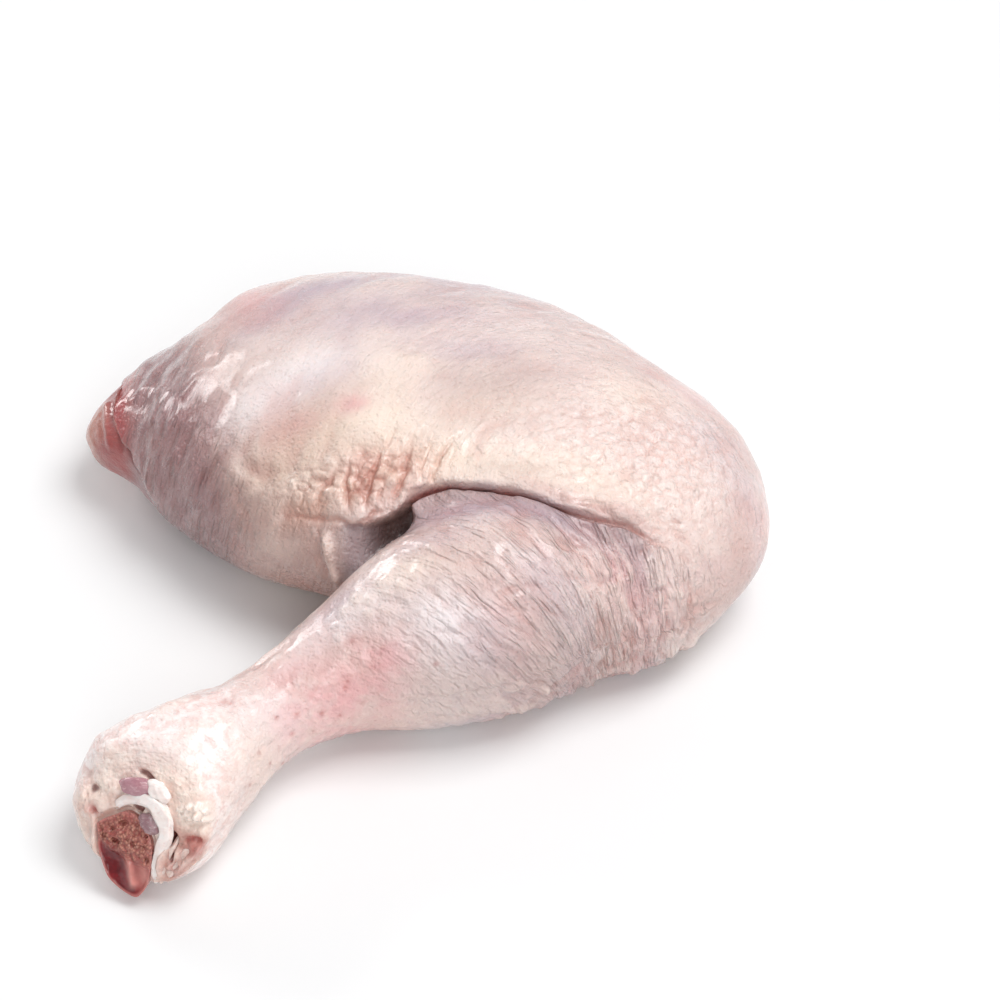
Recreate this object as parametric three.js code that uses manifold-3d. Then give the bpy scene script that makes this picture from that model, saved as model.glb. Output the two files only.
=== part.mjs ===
// A raw whole turkey leg: thigh and drumstick in one skin, bent at the knee, lying on its inner side.
// Millimetres, +Z up. The origin is the middle of the leg's bounding box on the surface it lies on.
// +X runs from the hip end towards the knee, and the drumstick comes back from the knee towards -X and -Y.
import * as THREE from "three";
import { ParametricGeometry } from "three/addons/geometries/ParametricGeometry.js";
import { mergeVertices } from "three/addons/utils/BufferGeometryUtils.js";
import Module from "manifold-3d";

const wasm = await Module();
wasm.setup();

// ---- Driving dimensions -------------------------------------------------------------------------

// A lobe of flesh is a rounded section carried along a path. Each station holds the section's centre
// (x, y, z), its half widths to the left and right of the path, its half heights up and down, and the
// lift of its right edge, which raises the roll of skin that leans over the drumstick.
const THIGH_STATIONS = [
  // x, y, z, left, right, up, down, lift
  [-113, 63, 20, 8, 8, 8, 8, 0], // hip end
  [-102, 61, 22, 22, 17, 14, 13, 0],
  [-88, 60, 24, 36, 28, 20, 19, 0],
  [-71, 57, 27, 58, 40, 29, 30, 0], // the shoulder where the leg was cut from the back
  [-43, 53, 31, 64, 59, 35, 36, 0],
  [-9, 49, 33, 63, 67, 38, 38, 0], // fullest
  [21, 41, 33, 60, 55, 38, 38, 8],
  [51, 28, 33, 49, 51, 36, 37, 14],
  [80, 10, 32, 38, 44, 31, 36, 15],
  [109, -13, 31, 27, 30, 26, 29, 8], // kneecap
];
const DRUMSTICK_STATIONS = [
  [100, -8, 28, 24, 18, 20, 26, 0], // inside the knee
  [78, -12, 28, 25, 27, 24, 30, 0],
  [51, -16, 30, 28, 31, 29, 34, 0],
  [25, -25, 32, 33, 29, 35, 37, 0], // calf, fullest
  [-1, -36, 30, 28, 25, 30, 34, 0],
  [-25, -49, 26, 17, 18, 20, 22, 0],
  [-45, -63, 23, 14, 14, 16, 17, 0], // narrowest part of the shank
  [-62, -79, 22, 20, 18, 19, 20, 0],
  [-78, -92, 21, 27, 22, 22, 24, 0], // ankle knob
  [-93, -105, 20, 26, 20, 19, 20, 0],
];
const THIGH_SQUARENESS = 2.2; // 2 is an ellipse, more is boxier
const DRUMSTICK_SQUARENESS = 2.1;
const THIGH_ENDS = [0.08, 0.14]; // share of the path over which each end rounds off
const DRUMSTICK_ENDS = [0.14, 0.08];

const TABLE_SOFTNESS = 2.5; // how round the flesh's edge is where it lies on the table
const TABLE_PRESS = 0.24; // share of that softness by which the flesh is pressed flat
const KNEE_BLEND = { at: [94, -14, 30], radius: 42, rounds: 18 }; // where the two lobes flow together

// The skin ends at the hip on a slanted line, and the thigh meat shows beyond and below it.
const HIP_SKIN_EDGE = { at: [-95, 60, 28], outward: [-0.76, -0.05, -0.65] };
const MEAT_STATIONS = [
  [-113, 63, 20, 7, 7, 7, 7, 0], // bare tip
  [-102, 61, 22, 20, 15, 12, 12, 0],
  [-88, 60, 24, 30, 24, 16, 18, 0],
  [-71, 57, 25, 46, 32, 20, 24, 0],
  [-43, 53, 29, 48, 40, 22, 22, 0],
  [-9, 49, 31, 36, 32, 20, 20, 0],
  [21, 41, 31, 22, 22, 18, 18, 0],
];
const MEAT_ENDS = [0.13, 0.3];

// The shin bone runs from the knee to the ankle, where it was cut on a slant.
const BONE_STATIONS = [
  [84, -12, 30, 10, 10, 9, 9, 0], // knee head
  [66, -14, 31, 7, 7, 7, 7, 0],
  [25, -27, 31, 6, 6, 6, 6, 0], // shaft
  [-20, -48, 26, 6, 6, 6, 6, 0],
  [-46, -65, 22, 6, 6, 6, 6, 0],
  [-65, -83, 18, 8, 8, 8, 8, 0],
  [-77, -100, 16, 9, 9, 11, 12, 0], // ankle head
  [-86, -120, 13, 9, 9, 11, 12, 0],
];
const BONE_ENDS = [0.06, 0.06];
const BONE_CUT = { at: [-83.5, -111, 15], outward: [-0.3, -0.8, 0.52] };
const ANKLE_CUT = { at: [-83, -110, 14], outward: [-0.3, -0.8, 0.52] }; // the skin ends a little behind

// White tendons at the ankle: round strands, each along a smooth line through its points.
const TENDONS = {
  tendon_loop: {
    radius: 1.7,
    points: [
      [-84, -101.5, 28.5],
      [-80, -101.5, 31],
      [-76, -102.5, 31],
      [-72, -106, 28.5],
      [-71, -109, 24.5],
      [-73.5, -111, 20],
      [-75, -113.5, 14],
      [-76, -116, 8.5],
    ],
  },
  tendon_strand: {
    radius: 1.3,
    points: [
      [-67.8, -109.8, 24],
      [-70.5, -112.3, 19.5],
      [-71.8, -114.3, 15],
      [-72.3, -115.8, 11],
    ],
  },
  tendon_cord: {
    radius: 1.5,
    points: [
      [-63.5, -111, 23.5],
      [-66.5, -113, 19],
      [-68.2, -115, 14.2],
      [-69, -116.5, 10],
    ],
  },
};
// Cartilage that shows in the open joint above the bone, behind the loop: centre and half sizes.
const CARTILAGE = { at: [-77, -97, 28.5], half: [7, 5, 7.5] };

const CLEARANCE = 0.35; // gap between pieces that touch
const CUTTER = 90; // size of the block that makes a flat cut
// Steps along each piece and around it.
const STEPS = {
  thigh: [50, 56],
  drumstick: [46, 36],
  meat: [18, 22],
  bone: [24, 12],
  tendon: [12, 10],
  ball: [14, 9],
};

// ---- Shapes -------------------------------------------------------------------------------------

// The smooth lines through the stations: centre, widths with lift, and heights.
function linesThrough(stations) {
  const line = (pick) =>
    new THREE.CatmullRomCurve3(
      stations.map((s) => new THREE.Vector3(...pick(s))),
      false,
      "catmullrom",
      0.5,
    );
  return {
    centre: line(([x, y, z]) => [x, y, z]),
    width: line(([, , , left, right, , , lift]) => [left, right, lift]),
    height: line(([, , , , , up, down]) => [up, down, 0]),
  };
}

// How far the section has opened at a share t of the path: a quarter ellipse over each end.
function endRounding(t, [first, last]) {
  const e = Math.min(t / first, (1 - t) / last, 1);
  return Math.sqrt(Math.max(0, 1 - (1 - e) ** 2));
}

// Flesh that would sink into the table spreads flat on it instead.
function restOnTable(z) {
  const soft = 0.5 * (z + Math.hypot(z, TABLE_SOFTNESS));
  return Math.max(0, soft - TABLE_PRESS * TABLE_SOFTNESS);
}

// A closed lobe. grow moves its surface out.
function lobe(stations, [along, around], { ends, squareness = 2, grow = 0, rests = false }) {
  const { centre, width, height } = linesThrough(stations);
  const point = (a, v, target) => {
    const t = 0.5 - 0.5 * Math.cos(Math.PI * v);
    const c = centre.getPoint(t);
    const w = width.getPoint(t);
    const h = height.getPoint(t);
    const ahead = centre.getTangent(t).setZ(0).normalize();
    const cos = Math.cos(2 * Math.PI * a);
    const sin = Math.sin(2 * Math.PI * a);
    const power = (x) => Math.abs(x) ** squareness;
    const open = (power(cos) + power(sin)) ** (-1 / squareness) * endRounding(t, ends);
    const side = ((cos > 0 ? w.x : w.y) + grow) * cos * open;
    const high = ((sin > 0 ? h.x : h.y) + grow) * sin * open;
    const lift = cos < 0 ? w.z * (cos * open) ** 2 : 0;
    target.set(c.x - ahead.y * side, c.y + ahead.x * side, c.z + high + lift);
    if (rests) target.z = restOnTable(target.z);
  };
  return solidOf(new ParametricGeometry(point, around, along));
}

// A round strand along a smooth line.
function strand(points, radius, [along, around]) {
  const ring = new THREE.Shape().absarc(0, 0, radius, 0, 2 * Math.PI);
  const line = new THREE.CatmullRomCurve3(points.map((p) => new THREE.Vector3(...p)));
  const options = { steps: along, curveSegments: around / 2, extrudePath: line, bevelEnabled: false };
  return solidOf(new THREE.ExtrudeGeometry(ring, options));
}

function ellipsoid({ at, half }, grow = 0) {
  const ball = new THREE.SphereGeometry(1, ...STEPS.ball);
  ball.scale(...half.map((h) => h + grow)).translate(...at);
  return solidOf(ball);
}

// A block whose near face is the plane of a cut, with the rest of it on the outward side.
function cutter({ at, outward }) {
  const block = new THREE.BoxGeometry(CUTTER, CUTTER, CUTTER).translate(0, 0, CUTTER / 2);
  const direction = new THREE.Vector3(...outward).normalize();
  block.applyQuaternion(new THREE.Quaternion().setFromUnitVectors(new THREE.Vector3(0, 0, 1), direction));
  block.translate(...at);
  return solidOf(block);
}

// ---- Solids and meshes --------------------------------------------------------------------------

// A closed three.js geometry as a solid, with its doubled vertices merged and collapsed faces dropped.
function solidOf(geometry) {
  const bare = new THREE.BufferGeometry().setAttribute("position", geometry.getAttribute("position"));
  bare.setIndex(geometry.getIndex());
  const merged = mergeVertices(bare, 1e-4);
  const corners = merged.index.array;
  const kept = [];
  for (let i = 0; i < corners.length; i += 3) {
    const [a, b, c] = [corners[i], corners[i + 1], corners[i + 2]];
    if (a !== b && b !== c && c !== a) kept.push(a, b, c);
  }
  return new wasm.Manifold(
    new wasm.Mesh({
      numProp: 3,
      vertProperties: Float32Array.from(merged.getAttribute("position").array),
      triVerts: Uint32Array.from(kept),
    }),
  );
}

// Relaxes the surface near a point: each vertex moves towards the mean of its neighbours.
function relax(solid, { at, radius, rounds }) {
  const { vertProperties, triVerts } = solid.getMesh();
  const count = vertProperties.length / 3;
  const centre = new THREE.Vector3(...at);
  const spot = (_, i) => new THREE.Vector3().fromArray(vertProperties, 3 * i);
  const spots = Array.from({ length: count }, spot);
  const neighbours = Array.from({ length: count }, () => new Set());
  for (let i = 0; i < triVerts.length; i += 3)
    for (const [a, b] of [[0, 1], [1, 2], [2, 0]]) {
      neighbours[triVerts[i + a]].add(triVerts[i + b]);
      neighbours[triVerts[i + b]].add(triVerts[i + a]);
    }
  const pull = spots.map((p) => 0.6 * Math.max(0, 1 - (p.distanceTo(centre) / radius) ** 2));
  for (let round = 0; round < rounds; round++) {
    const before = spots.map((p) => p.clone());
    spots.forEach((p, i) => {
      if (pull[i] === 0 || before[i].z < 0.01) return;
      const mean = new THREE.Vector3();
      for (const n of neighbours[i]) mean.add(before[n]);
      p.lerp(mean.divideScalar(neighbours[i].size), pull[i]);
    });
  }
  const moved = Float32Array.from(spots.flatMap((p) => p.toArray()));
  return new wasm.Manifold(new wasm.Mesh({ numProp: 3, vertProperties: moved, triVerts }));
}

function without(solid, ...others) {
  return others.reduce((left, other) => left.subtract(other), solid);
}

// The largest body of a solid, without scraps that a cut left loose.
function largestBody(solid) {
  return solid.decompose().sort((a, b) => b.volume() - a.volume())[0];
}

function namedMesh(name, solid, color, roughness) {
  const { vertProperties, triVerts } = largestBody(solid).getMesh();
  const geometry = new THREE.BufferGeometry()
    .setAttribute("position", new THREE.BufferAttribute(vertProperties, 3))
    .setIndex(new THREE.BufferAttribute(triVerts, 1));
  geometry.computeVertexNormals();
  const mesh = new THREE.Mesh(geometry, new THREE.MeshStandardMaterial({ color, roughness, metalness: 0 }));
  mesh.name = name;
  return mesh;
}

// ---- The leg ------------------------------------------------------------------------------------

function flesh() {
  const thighForm = { ends: THIGH_ENDS, squareness: THIGH_SQUARENESS, rests: true };
  const drumstickForm = { ends: DRUMSTICK_ENDS, squareness: DRUMSTICK_SQUARENESS, rests: true };
  const thigh = lobe(THIGH_STATIONS, STEPS.thigh, thighForm);
  const drumstick = lobe(DRUMSTICK_STATIONS, STEPS.drumstick, drumstickForm);
  return relax(thigh.add(drumstick), KNEE_BLEND);
}

function thighMeat(grow = 0) {
  const form = { ends: MEAT_ENDS, squareness: THIGH_SQUARENESS, grow, rests: true };
  return lobe(MEAT_STATIONS, STEPS.meat, form);
}

function shinBone(grow = 0) {
  return lobe(BONE_STATIONS, STEPS.bone, { ends: BONE_ENDS, grow });
}

function tendon(name, grow = 0) {
  return strand(TENDONS[name].points, TENDONS[name].radius + grow, STEPS.tendon);
}

function buildLeg() {
  const names = Object.keys(TENDONS);
  const tendonRooms = names.map((name) => tendon(name, CLEARANCE));
  const boneRoom = shinBone(CLEARANCE);
  const rooms = [boneRoom, thighMeat(CLEARANCE), ellipsoid(CARTILAGE, CLEARANCE), ...tendonRooms];
  const skinAndFlesh = without(flesh(), cutter(HIP_SKIN_EDGE), cutter(ANKLE_CUT), ...rooms);
  const bone = without(shinBone(), cutter(BONE_CUT), ...tendonRooms);
  const cartilage = without(ellipsoid(CARTILAGE), boneRoom, ...tendonRooms);

  const leg = new THREE.Group();
  leg.add(namedMesh("leg", skinAndFlesh, 0xe3c7bd, 0.4));
  leg.add(namedMesh("thigh_meat", thighMeat(), 0xb8605c, 0.35));
  leg.add(namedMesh("shin_bone", bone, 0x9c4a44, 0.5));
  leg.add(namedMesh("joint_cartilage", cartilage, 0xc9a9b8, 0.3));
  for (const name of names) leg.add(namedMesh(name, tendon(name), 0xe9e0d4, 0.35));
  return leg;
}

export default buildLeg();
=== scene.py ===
"""A raw whole turkey leg, dressed for the camera: skin with fat, folds and goose bumps, the meat that
shows at the hip, and the cut bone, cartilage and tendons at the ankle.

Tables are in millimetres in the part's own frame, +Z up, with the table at z = 0. Meshes are in metres.
The surfaces are sums of a few helpers below: smooth(x, low, high) steps from 0 to 1, noise(p, size, seed)
runs from -1 to 1, bell and patch fall off from 1, and the factor before each is its height or share.
"""
import math
import bmesh
import bpy
import numpy as np
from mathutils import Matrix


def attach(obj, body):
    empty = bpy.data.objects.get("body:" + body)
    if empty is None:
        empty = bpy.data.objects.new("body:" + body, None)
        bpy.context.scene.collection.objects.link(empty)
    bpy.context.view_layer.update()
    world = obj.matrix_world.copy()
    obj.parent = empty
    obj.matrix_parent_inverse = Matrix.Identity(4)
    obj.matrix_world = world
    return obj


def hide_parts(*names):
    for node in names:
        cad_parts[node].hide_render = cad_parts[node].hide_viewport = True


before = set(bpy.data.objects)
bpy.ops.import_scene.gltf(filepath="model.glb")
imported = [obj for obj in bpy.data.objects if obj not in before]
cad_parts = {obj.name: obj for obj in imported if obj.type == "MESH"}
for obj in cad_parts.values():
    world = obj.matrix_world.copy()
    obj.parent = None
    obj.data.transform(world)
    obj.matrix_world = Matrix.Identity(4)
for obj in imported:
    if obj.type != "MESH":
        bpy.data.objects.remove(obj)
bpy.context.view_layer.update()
MM = 0.001

# ---- Sizes ---------------------------------------------------------------------------------------

# A lobe of flesh is a rounded section carried along a path: centre x, y, z, half widths left and right
# of the path, half heights up and down, and the lift of the right edge.
THIGH = [
    (-113, 63, 20, 8, 8, 8, 8, 0),
    (-102, 61, 22, 22, 17, 14, 13, 0),
    (-88, 60, 24, 36, 28, 20, 19, 0),
    (-71, 57, 27, 58, 40, 29, 30, 0),
    (-43, 53, 31, 64, 59, 35, 36, 0),
    (-9, 49, 33, 63, 67, 38, 38, 0),
    (21, 41, 33, 60, 55, 38, 38, 8),
    (51, 28, 33, 49, 51, 36, 37, 14),
    (80, 10, 32, 38, 44, 31, 36, 15),
    (109, -13, 31, 27, 30, 26, 29, 8),
]
DRUMSTICK = [
    (100, -8, 28, 24, 18, 20, 26, 0),
    (78, -12, 28, 25, 27, 24, 30, 0),
    (51, -16, 30, 28, 31, 29, 34, 0),
    (25, -25, 32, 33, 29, 35, 37, 0),
    (-1, -36, 30, 28, 25, 30, 34, 0),
    (-25, -49, 26, 17, 18, 20, 22, 0),
    (-45, -63, 23, 14, 14, 16, 17, 0),
    (-62, -79, 22, 20, 18, 19, 20, 0),
    (-78, -92, 21, 27, 22, 22, 24, 0),
    (-93, -105, 20, 26, 20, 19, 20, 0),
]
THIGH_FORM = {"ends": (0.08, 0.14), "squareness": 2.2}
DRUMSTICK_FORM = {"ends": (0.14, 0.08), "squareness": 2.1}
TABLE_SOFTNESS, TABLE_PRESS = 2.5, 0.24
KNEE = {"at": (94, -14, 30), "radius": 42, "rounds": 240}
GROOVE = {"at": (11, -15, 53), "radius": 17, "rounds": 80}
POCKET_END = {"at": (-2.5, -12.5, 51), "radius": 7, "rounds": 16}
HIP_CUT = {"at": (-95, 60, 28), "outward": (-0.76, -0.05, -0.65)}
KNOB_END = (-95, -107, 20.5, 26, 18.5, 20.5, 20, 0)
ANKLE_CUT = {"at": (-83, -110, 14), "outward": (-0.3, -0.8, 0.52)}
SKIN_VOXEL = 1.93

# ---- Camera and light ----------------------------------------------------------------------------

# Places in metres, the camera's tilt in degrees, its lens and film width in millimetres.
CAMERA = {"at": (0.025, -0.6087, 0.6587), "tilt": 45, "lens": 100, "film": 36, "far": 20}
# Square lamps: place, where they aim, side, power and colour.
LAMPS = {
    "window_light": ((-0.8, 0.82, 0.5), (-0.05, 0.03, 0.04), 0.42, 4.6, (1.0, 0.99, 0.98)),
    "ceiling_light": ((0.5, 0.05, 1.2), (0, 0, 0.03), 0.7, 11, (1, 1, 1)),
    "front_light": ((0.15, -1.1, 0.85), (-0.04, -0.06, 0.03), 0.7, 5.2, (1, 1, 1)),
}
ROOM_TONE, ROOM_STRENGTH = (0.97, 0.98, 1.0, 1), 0.42


def put(name, data):
    thing = bpy.data.objects.new(name, data)
    bpy.context.scene.collection.objects.link(thing)
    return thing


eye = put("camera", bpy.data.cameras.new("camera"))
eye.data.lens, eye.data.sensor_width, eye.data.clip_end = CAMERA["lens"], CAMERA["film"], CAMERA["far"]
eye.location = CAMERA["at"]
eye.rotation_euler = (math.radians(CAMERA["tilt"]), 0, 0)
bpy.context.scene.camera = eye

for name, (place, aim, side, power, colour) in LAMPS.items():
    lamp = bpy.data.lights.new(name, "AREA")
    lamp.shape, lamp.size, lamp.energy, lamp.color = "SQUARE", side, power, colour
    body = put(name, lamp)
    body.location = place
    way = np.array(aim, float) - np.array(place, float)
    dip = math.atan2(math.hypot(way[0], way[1]), -way[2])
    body.rotation_euler = (dip, 0, math.atan2(way[1], way[0]) - math.pi / 2)

room = bpy.data.worlds.new("room")
bpy.context.scene.world = room
room.use_nodes = True
sky = room.node_tree.nodes["Background"].inputs
sky["Color"].default_value, sky["Strength"].default_value = ROOM_TONE, ROOM_STRENGTH
bpy.context.scene.view_settings.view_transform = "Standard"

# ---- Number work ---------------------------------------------------------------------------------

# How far from a line its mark is worked out, in millimetres, and the share of it over which each end fades.
LINE_REACH, LINE_TAPER = 12, 0.18


def unit(v):
    v = np.asarray(v, float)
    return v / np.linalg.norm(v, axis=-1, keepdims=True)


def smooth(x, low, high):
    """0 below low, 1 above high, with an S-shaped rise between."""
    t = np.clip((x - low) / (high - low), 0, 1)
    return t * t * (3 - 2 * t)


def bell(x, middle, width):
    """1 at the middle, falling off on both sides."""
    return np.exp(-((x - middle) / width) ** 2)


def eased(count):
    """Shares from 0 to 1, closer together at both ends."""
    return 0.5 - 0.5 * np.cos(np.pi * np.linspace(0, 1, count))


def ring_grid(shares, cols):
    """Each share with each angle of a ring."""
    return np.meshgrid(shares, 2 * np.pi * np.arange(cols) / cols, indexing="ij")


def through(rows, t):
    """Rows of numbers on one smooth curve, read at shares t: each stretch is the cubic whose slope at a
    row is half the step between its two neighbours."""
    rows = np.asarray(rows, float)
    n = len(rows) - 1
    knots = np.vstack([2 * rows[0] - rows[1], rows, 2 * rows[-1] - rows[-2]])
    s = np.clip(t, 0, 1) * n
    i = np.minimum(s.astype(int), n - 1)
    f = (s - i)[..., None]
    a, b, c, d = knots[i], knots[i + 1], knots[i + 2], knots[i + 3]
    return b + 0.5 * f * (c - a + f * (2 * a - 5 * b + 4 * c - d + f * (3 * (b - c) + d - a)))


def end_rounding(t, ends):
    """Quarter ellipse that opens the section over each end of the path."""
    e = np.clip(np.minimum(t / ends[0], (1 - t) / ends[1]), 0, 1)
    return np.sqrt(1 - (1 - e) ** 2)


def on_table(z):
    """Flesh that would sink into the table spreads flat on it: a soft ramp, pressed down a little."""
    return np.maximum(0, 0.5 * (z + np.hypot(z, TABLE_SOFTNESS)) - TABLE_PRESS * TABLE_SOFTNESS)


def path_frame(rows, t):
    """Stations at t with the flat direction of travel and the direction to its left."""
    row = through(rows, t)
    step = through(rows, np.minimum(t + 1e-3, 1)) - through(rows, np.maximum(t - 1e-3, 0))
    ahead = unit(step[..., :2])
    return row, ahead, np.stack([-ahead[..., 1], ahead[..., 0]], -1)


def lobe(rows, t, a, ends, squareness, grow=0.0):
    """Points of a lobe: at share t of its path and angle a, the section is a rounded box,
    (|cos|^n + |sin|^n)^(-1/n) times the half width and half height there, closed at both ends."""
    row, _, left = path_frame(rows, t)
    c, s = np.cos(a), np.sin(a)
    open_ = (np.abs(c) ** squareness + np.abs(s) ** squareness) ** (-1 / squareness) * end_rounding(t, ends)
    side = (np.where(c > 0, row[..., 3], row[..., 4]) + grow) * c * open_
    high = (np.where(s > 0, row[..., 5], row[..., 6]) + grow) * s * open_
    high = high + np.where(c < 0, row[..., 7] * (c * open_) ** 2, 0)
    xy = row[..., :2] + left * side[..., None]
    return np.concatenate([xy, on_table(row[..., 2] + high)[..., None]], -1)


def lobe_reading(rows, p, ends, squareness):
    """Where points lie by a lobe: distance along its path, distance round the section, and depth, the
    rough distance outside the lobe's surface (negative inside)."""
    shares = eased(241)
    row, ahead, left = path_frame(rows, shares)
    run = np.concatenate([[0], np.cumsum(np.linalg.norm(np.diff(row[:, :3], axis=0), axis=1))])
    nearest = np.empty(len(p), int)
    for i in range(0, len(p), 20000):
        gap = p[i:i + 20000, None, :2] - row[None, :, :2]
        nearest[i:i + 20000] = (gap ** 2).sum(-1).argmin(1)
    r, l, h = row[nearest], left[nearest], ahead[nearest]
    rel = p[:, :2] - r[:, :2]
    side = (rel * l).sum(1)
    past = (rel * h).sum(1)
    width = np.where(side > 0, r[:, 3], r[:, 4])
    high = p[:, 2] - r[:, 2] - np.where(side < 0, r[:, 7] * np.minimum(side / width, 1) ** 2, 0)
    tall = np.where(high > 0, r[:, 5], r[:, 6])
    open_ = np.maximum(end_rounding(shares[nearest], ends), 0.05)
    k = (np.abs(side / (width * open_)) ** squareness + np.abs(high / (tall * open_)) ** squareness)
    k = np.maximum(k, 1e-6) ** (1 / squareness)
    reach = np.hypot(side, high)
    depth = reach * (1 - 1 / k)
    turn = np.arctan2(-side, high)
    return run[nearest] + past, turn * 0.5 * (width + tall), depth


def lattice(i, j, k, seed):
    """A repeatable number from 0 to 1 for each whole-number corner, by an integer hash."""
    h = (i * 374761393 + j * 668265263 + k * 1440662683 + seed * 974711 + 12345).astype(np.uint32)
    h = (h ^ (h >> np.uint32(13))) * np.uint32(1274126177)
    h = (h ^ (h >> np.uint32(15))) * np.uint32(2246822519)
    return ((h ^ (h >> np.uint32(16))) & np.uint32(65535)).astype(float) / 65535


def noise(p, size, seed=0):
    """Smooth lumps from -1 to 1, about size across: corner numbers blended with smooth steps."""
    q = np.asarray(p, float) / size + 512.37
    i = np.floor(q).astype(np.int64)
    f = q - i
    f = f * f * f * (f * (f * 6 - 15) + 10)
    total = 0
    for dx in (0, 1):
        for dy in (0, 1):
            for dz in (0, 1):
                share = np.abs(1 - dx - f[:, 0]) * np.abs(1 - dy - f[:, 1]) * np.abs(1 - dz - f[:, 2])
                total = total + share * lattice(i[:, 0] + dx, i[:, 1] + dy, i[:, 2] + dz, seed)
    return 2 * total - 1


def cobbles(p, size, seed=0):
    """Distance to the nearest of centres scattered one to a cube of that size, and how much farther off
    the second nearest is, 0 in the cracks between cells: both as shares of the size."""
    q = np.asarray(p, float) / size + 512.37
    i = np.floor(q).astype(np.int64)
    first = np.full(len(q), 9.0)
    second = np.full(len(q), 9.0)
    for dx in (-1, 0, 1):
        for dy in (-1, 0, 1):
            for dz in (-1, 0, 1):
                a, b, c = i[:, 0] + dx, i[:, 1] + dy, i[:, 2] + dz
                spot = np.stack([a + lattice(a, b, c, seed), b + lattice(a, b, c, seed + 1),
                                 c + lattice(a, b, c, seed + 2)], -1)
                d = np.linalg.norm(q - spot, axis=1)
                second = np.minimum(second, np.maximum(first, d))
                first = np.minimum(first, d)
    return first, second - first


def flow(across, along, layer=0):
    """Places on a sheet, for noise and cobbles that are stretched along the flesh."""
    return np.stack([across, along, 0 * across + layer], -1)


def swell(p):
    """The slow unevenness that the skin and the meat under it share."""
    return 0.8 * noise(p, 27, 3) + 0.45 * noise(p, 13, 4)


def near_line(p, points):
    """Distance to a line through points, and the share of its length at the nearest place."""
    pts = np.asarray(points, float)
    n = pts.shape[1]
    fine = through(pts, np.linspace(0, 1, 8 * len(pts)))
    best = np.full(len(p), 1e9)
    share = np.zeros(len(p))
    lo, hi = fine.min(0) - LINE_REACH, fine.max(0) + LINE_REACH
    inside = np.nonzero(((p[:, :n] > lo) & (p[:, :n] < hi)).all(1))[0]
    q = p[inside, :n]
    d_best, s_best = best[inside], share[inside]
    for k in range(len(fine) - 1):
        a, b = fine[k], fine[k + 1]
        ab = b - a
        t = np.clip(((q - a) @ ab) / (ab @ ab), 0, 1)
        d = np.linalg.norm(q - a - t[:, None] * ab, axis=1)
        m = d < d_best
        d_best = np.where(m, d, d_best)
        s_best = np.where(m, (k + t) / (len(fine) - 1), s_best)
    best[inside], share[inside] = d_best, s_best
    return best, share


def line_mark(p, points, width):
    """1 on the line and falling off as a bell over the width, tapering to nothing at both ends."""
    d, s = near_line(p, points)
    return bell(d, 0, width) * smooth(np.minimum(s, 1 - s), 0, LINE_TAPER)


def patch(p, x, y, rx, ry, turn=0.0):
    """1 inside an oval patch in plan, falling off as a bell: half sizes rx, ry, turned by degrees."""
    c, s = math.cos(math.radians(turn)), math.sin(math.radians(turn))
    dx, dy = p[:, 0] - x, p[:, 1] - y
    return np.exp(-((dx * c + dy * s) / rx) ** 2 - ((dy * c - dx * s) / ry) ** 2)


def patches(p, rows):
    """Several patches laid over each other: 1 less the product of what each leaves."""
    left = np.ones(len(p))
    for x, y, rx, ry, turn, strength in rows:
        left = left * (1 - strength * patch(p, x, y, rx, ry, turn))
    return 1 - left


# ---- Meshes --------------------------------------------------------------------------------------


def grid_faces(rows, cols):
    """Four-cornered faces of a grid whose columns close into a ring."""
    i, j = np.meshgrid(np.arange(rows - 1), np.arange(cols), indexing="ij")
    k = (j + 1) % cols
    return np.stack([i * cols + j, i * cols + k, (i + 1) * cols + k, (i + 1) * cols + j], -1).reshape(-1, 4)


def mesh_of(name, points, faces):
    """A smooth-shaded mesh object from points in millimetres and faces as one array."""
    faces = np.asarray(faces)
    mesh = bpy.data.meshes.new(name)
    mesh.vertices.add(len(points))
    mesh.vertices.foreach_set("co", (np.asarray(points, float) * MM).astype(np.float32).ravel())
    mesh.loops.add(faces.size)
    mesh.loops.foreach_set("vertex_index", faces.astype(np.int32).ravel())
    mesh.polygons.add(len(faces))
    mesh.polygons.foreach_set("loop_start", (np.arange(len(faces)) * faces.shape[1]).astype(np.int32))
    mesh.update(calc_edges=True)
    mesh.validate()
    mesh.polygons.foreach_set("use_smooth", np.ones(len(mesh.polygons), bool))
    return put(name, mesh)


def read_mesh(thing):
    """Points in millimetres and four-cornered faces of an object as its modifiers leave it."""
    done = thing.evaluated_get(bpy.context.evaluated_depsgraph_get())
    mesh = done.to_mesh()
    points = np.empty(3 * len(mesh.vertices), np.float32)
    mesh.vertices.foreach_get("co", points)
    corners = np.empty(len(mesh.loops), np.int32)
    mesh.loops.foreach_get("vertex_index", corners)
    faces = corners.reshape(-1, 4)
    done.to_mesh_clear()
    return points.reshape(-1, 3).astype(float) / MM, faces.astype(np.int64)


def fused(name, parts, voxel):
    """Several closed surfaces grown into one skin of even four-cornered faces."""
    points, faces, base = [], [], 0
    for p, f in parts:
        points.append(p)
        faces.append(f + base)
        base += len(p)
    thing = mesh_of(name, np.vstack(points), np.vstack(faces))
    grow = thing.modifiers.new("fuse", "REMESH")
    grow.mode, grow.voxel_size, grow.adaptivity = "VOXEL", voxel * MM, 0.0
    bpy.context.view_layer.update()
    p, f = read_mesh(thing)
    blank = thing.data
    bpy.data.objects.remove(thing)
    bpy.data.meshes.remove(blank)
    return p, f


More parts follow.
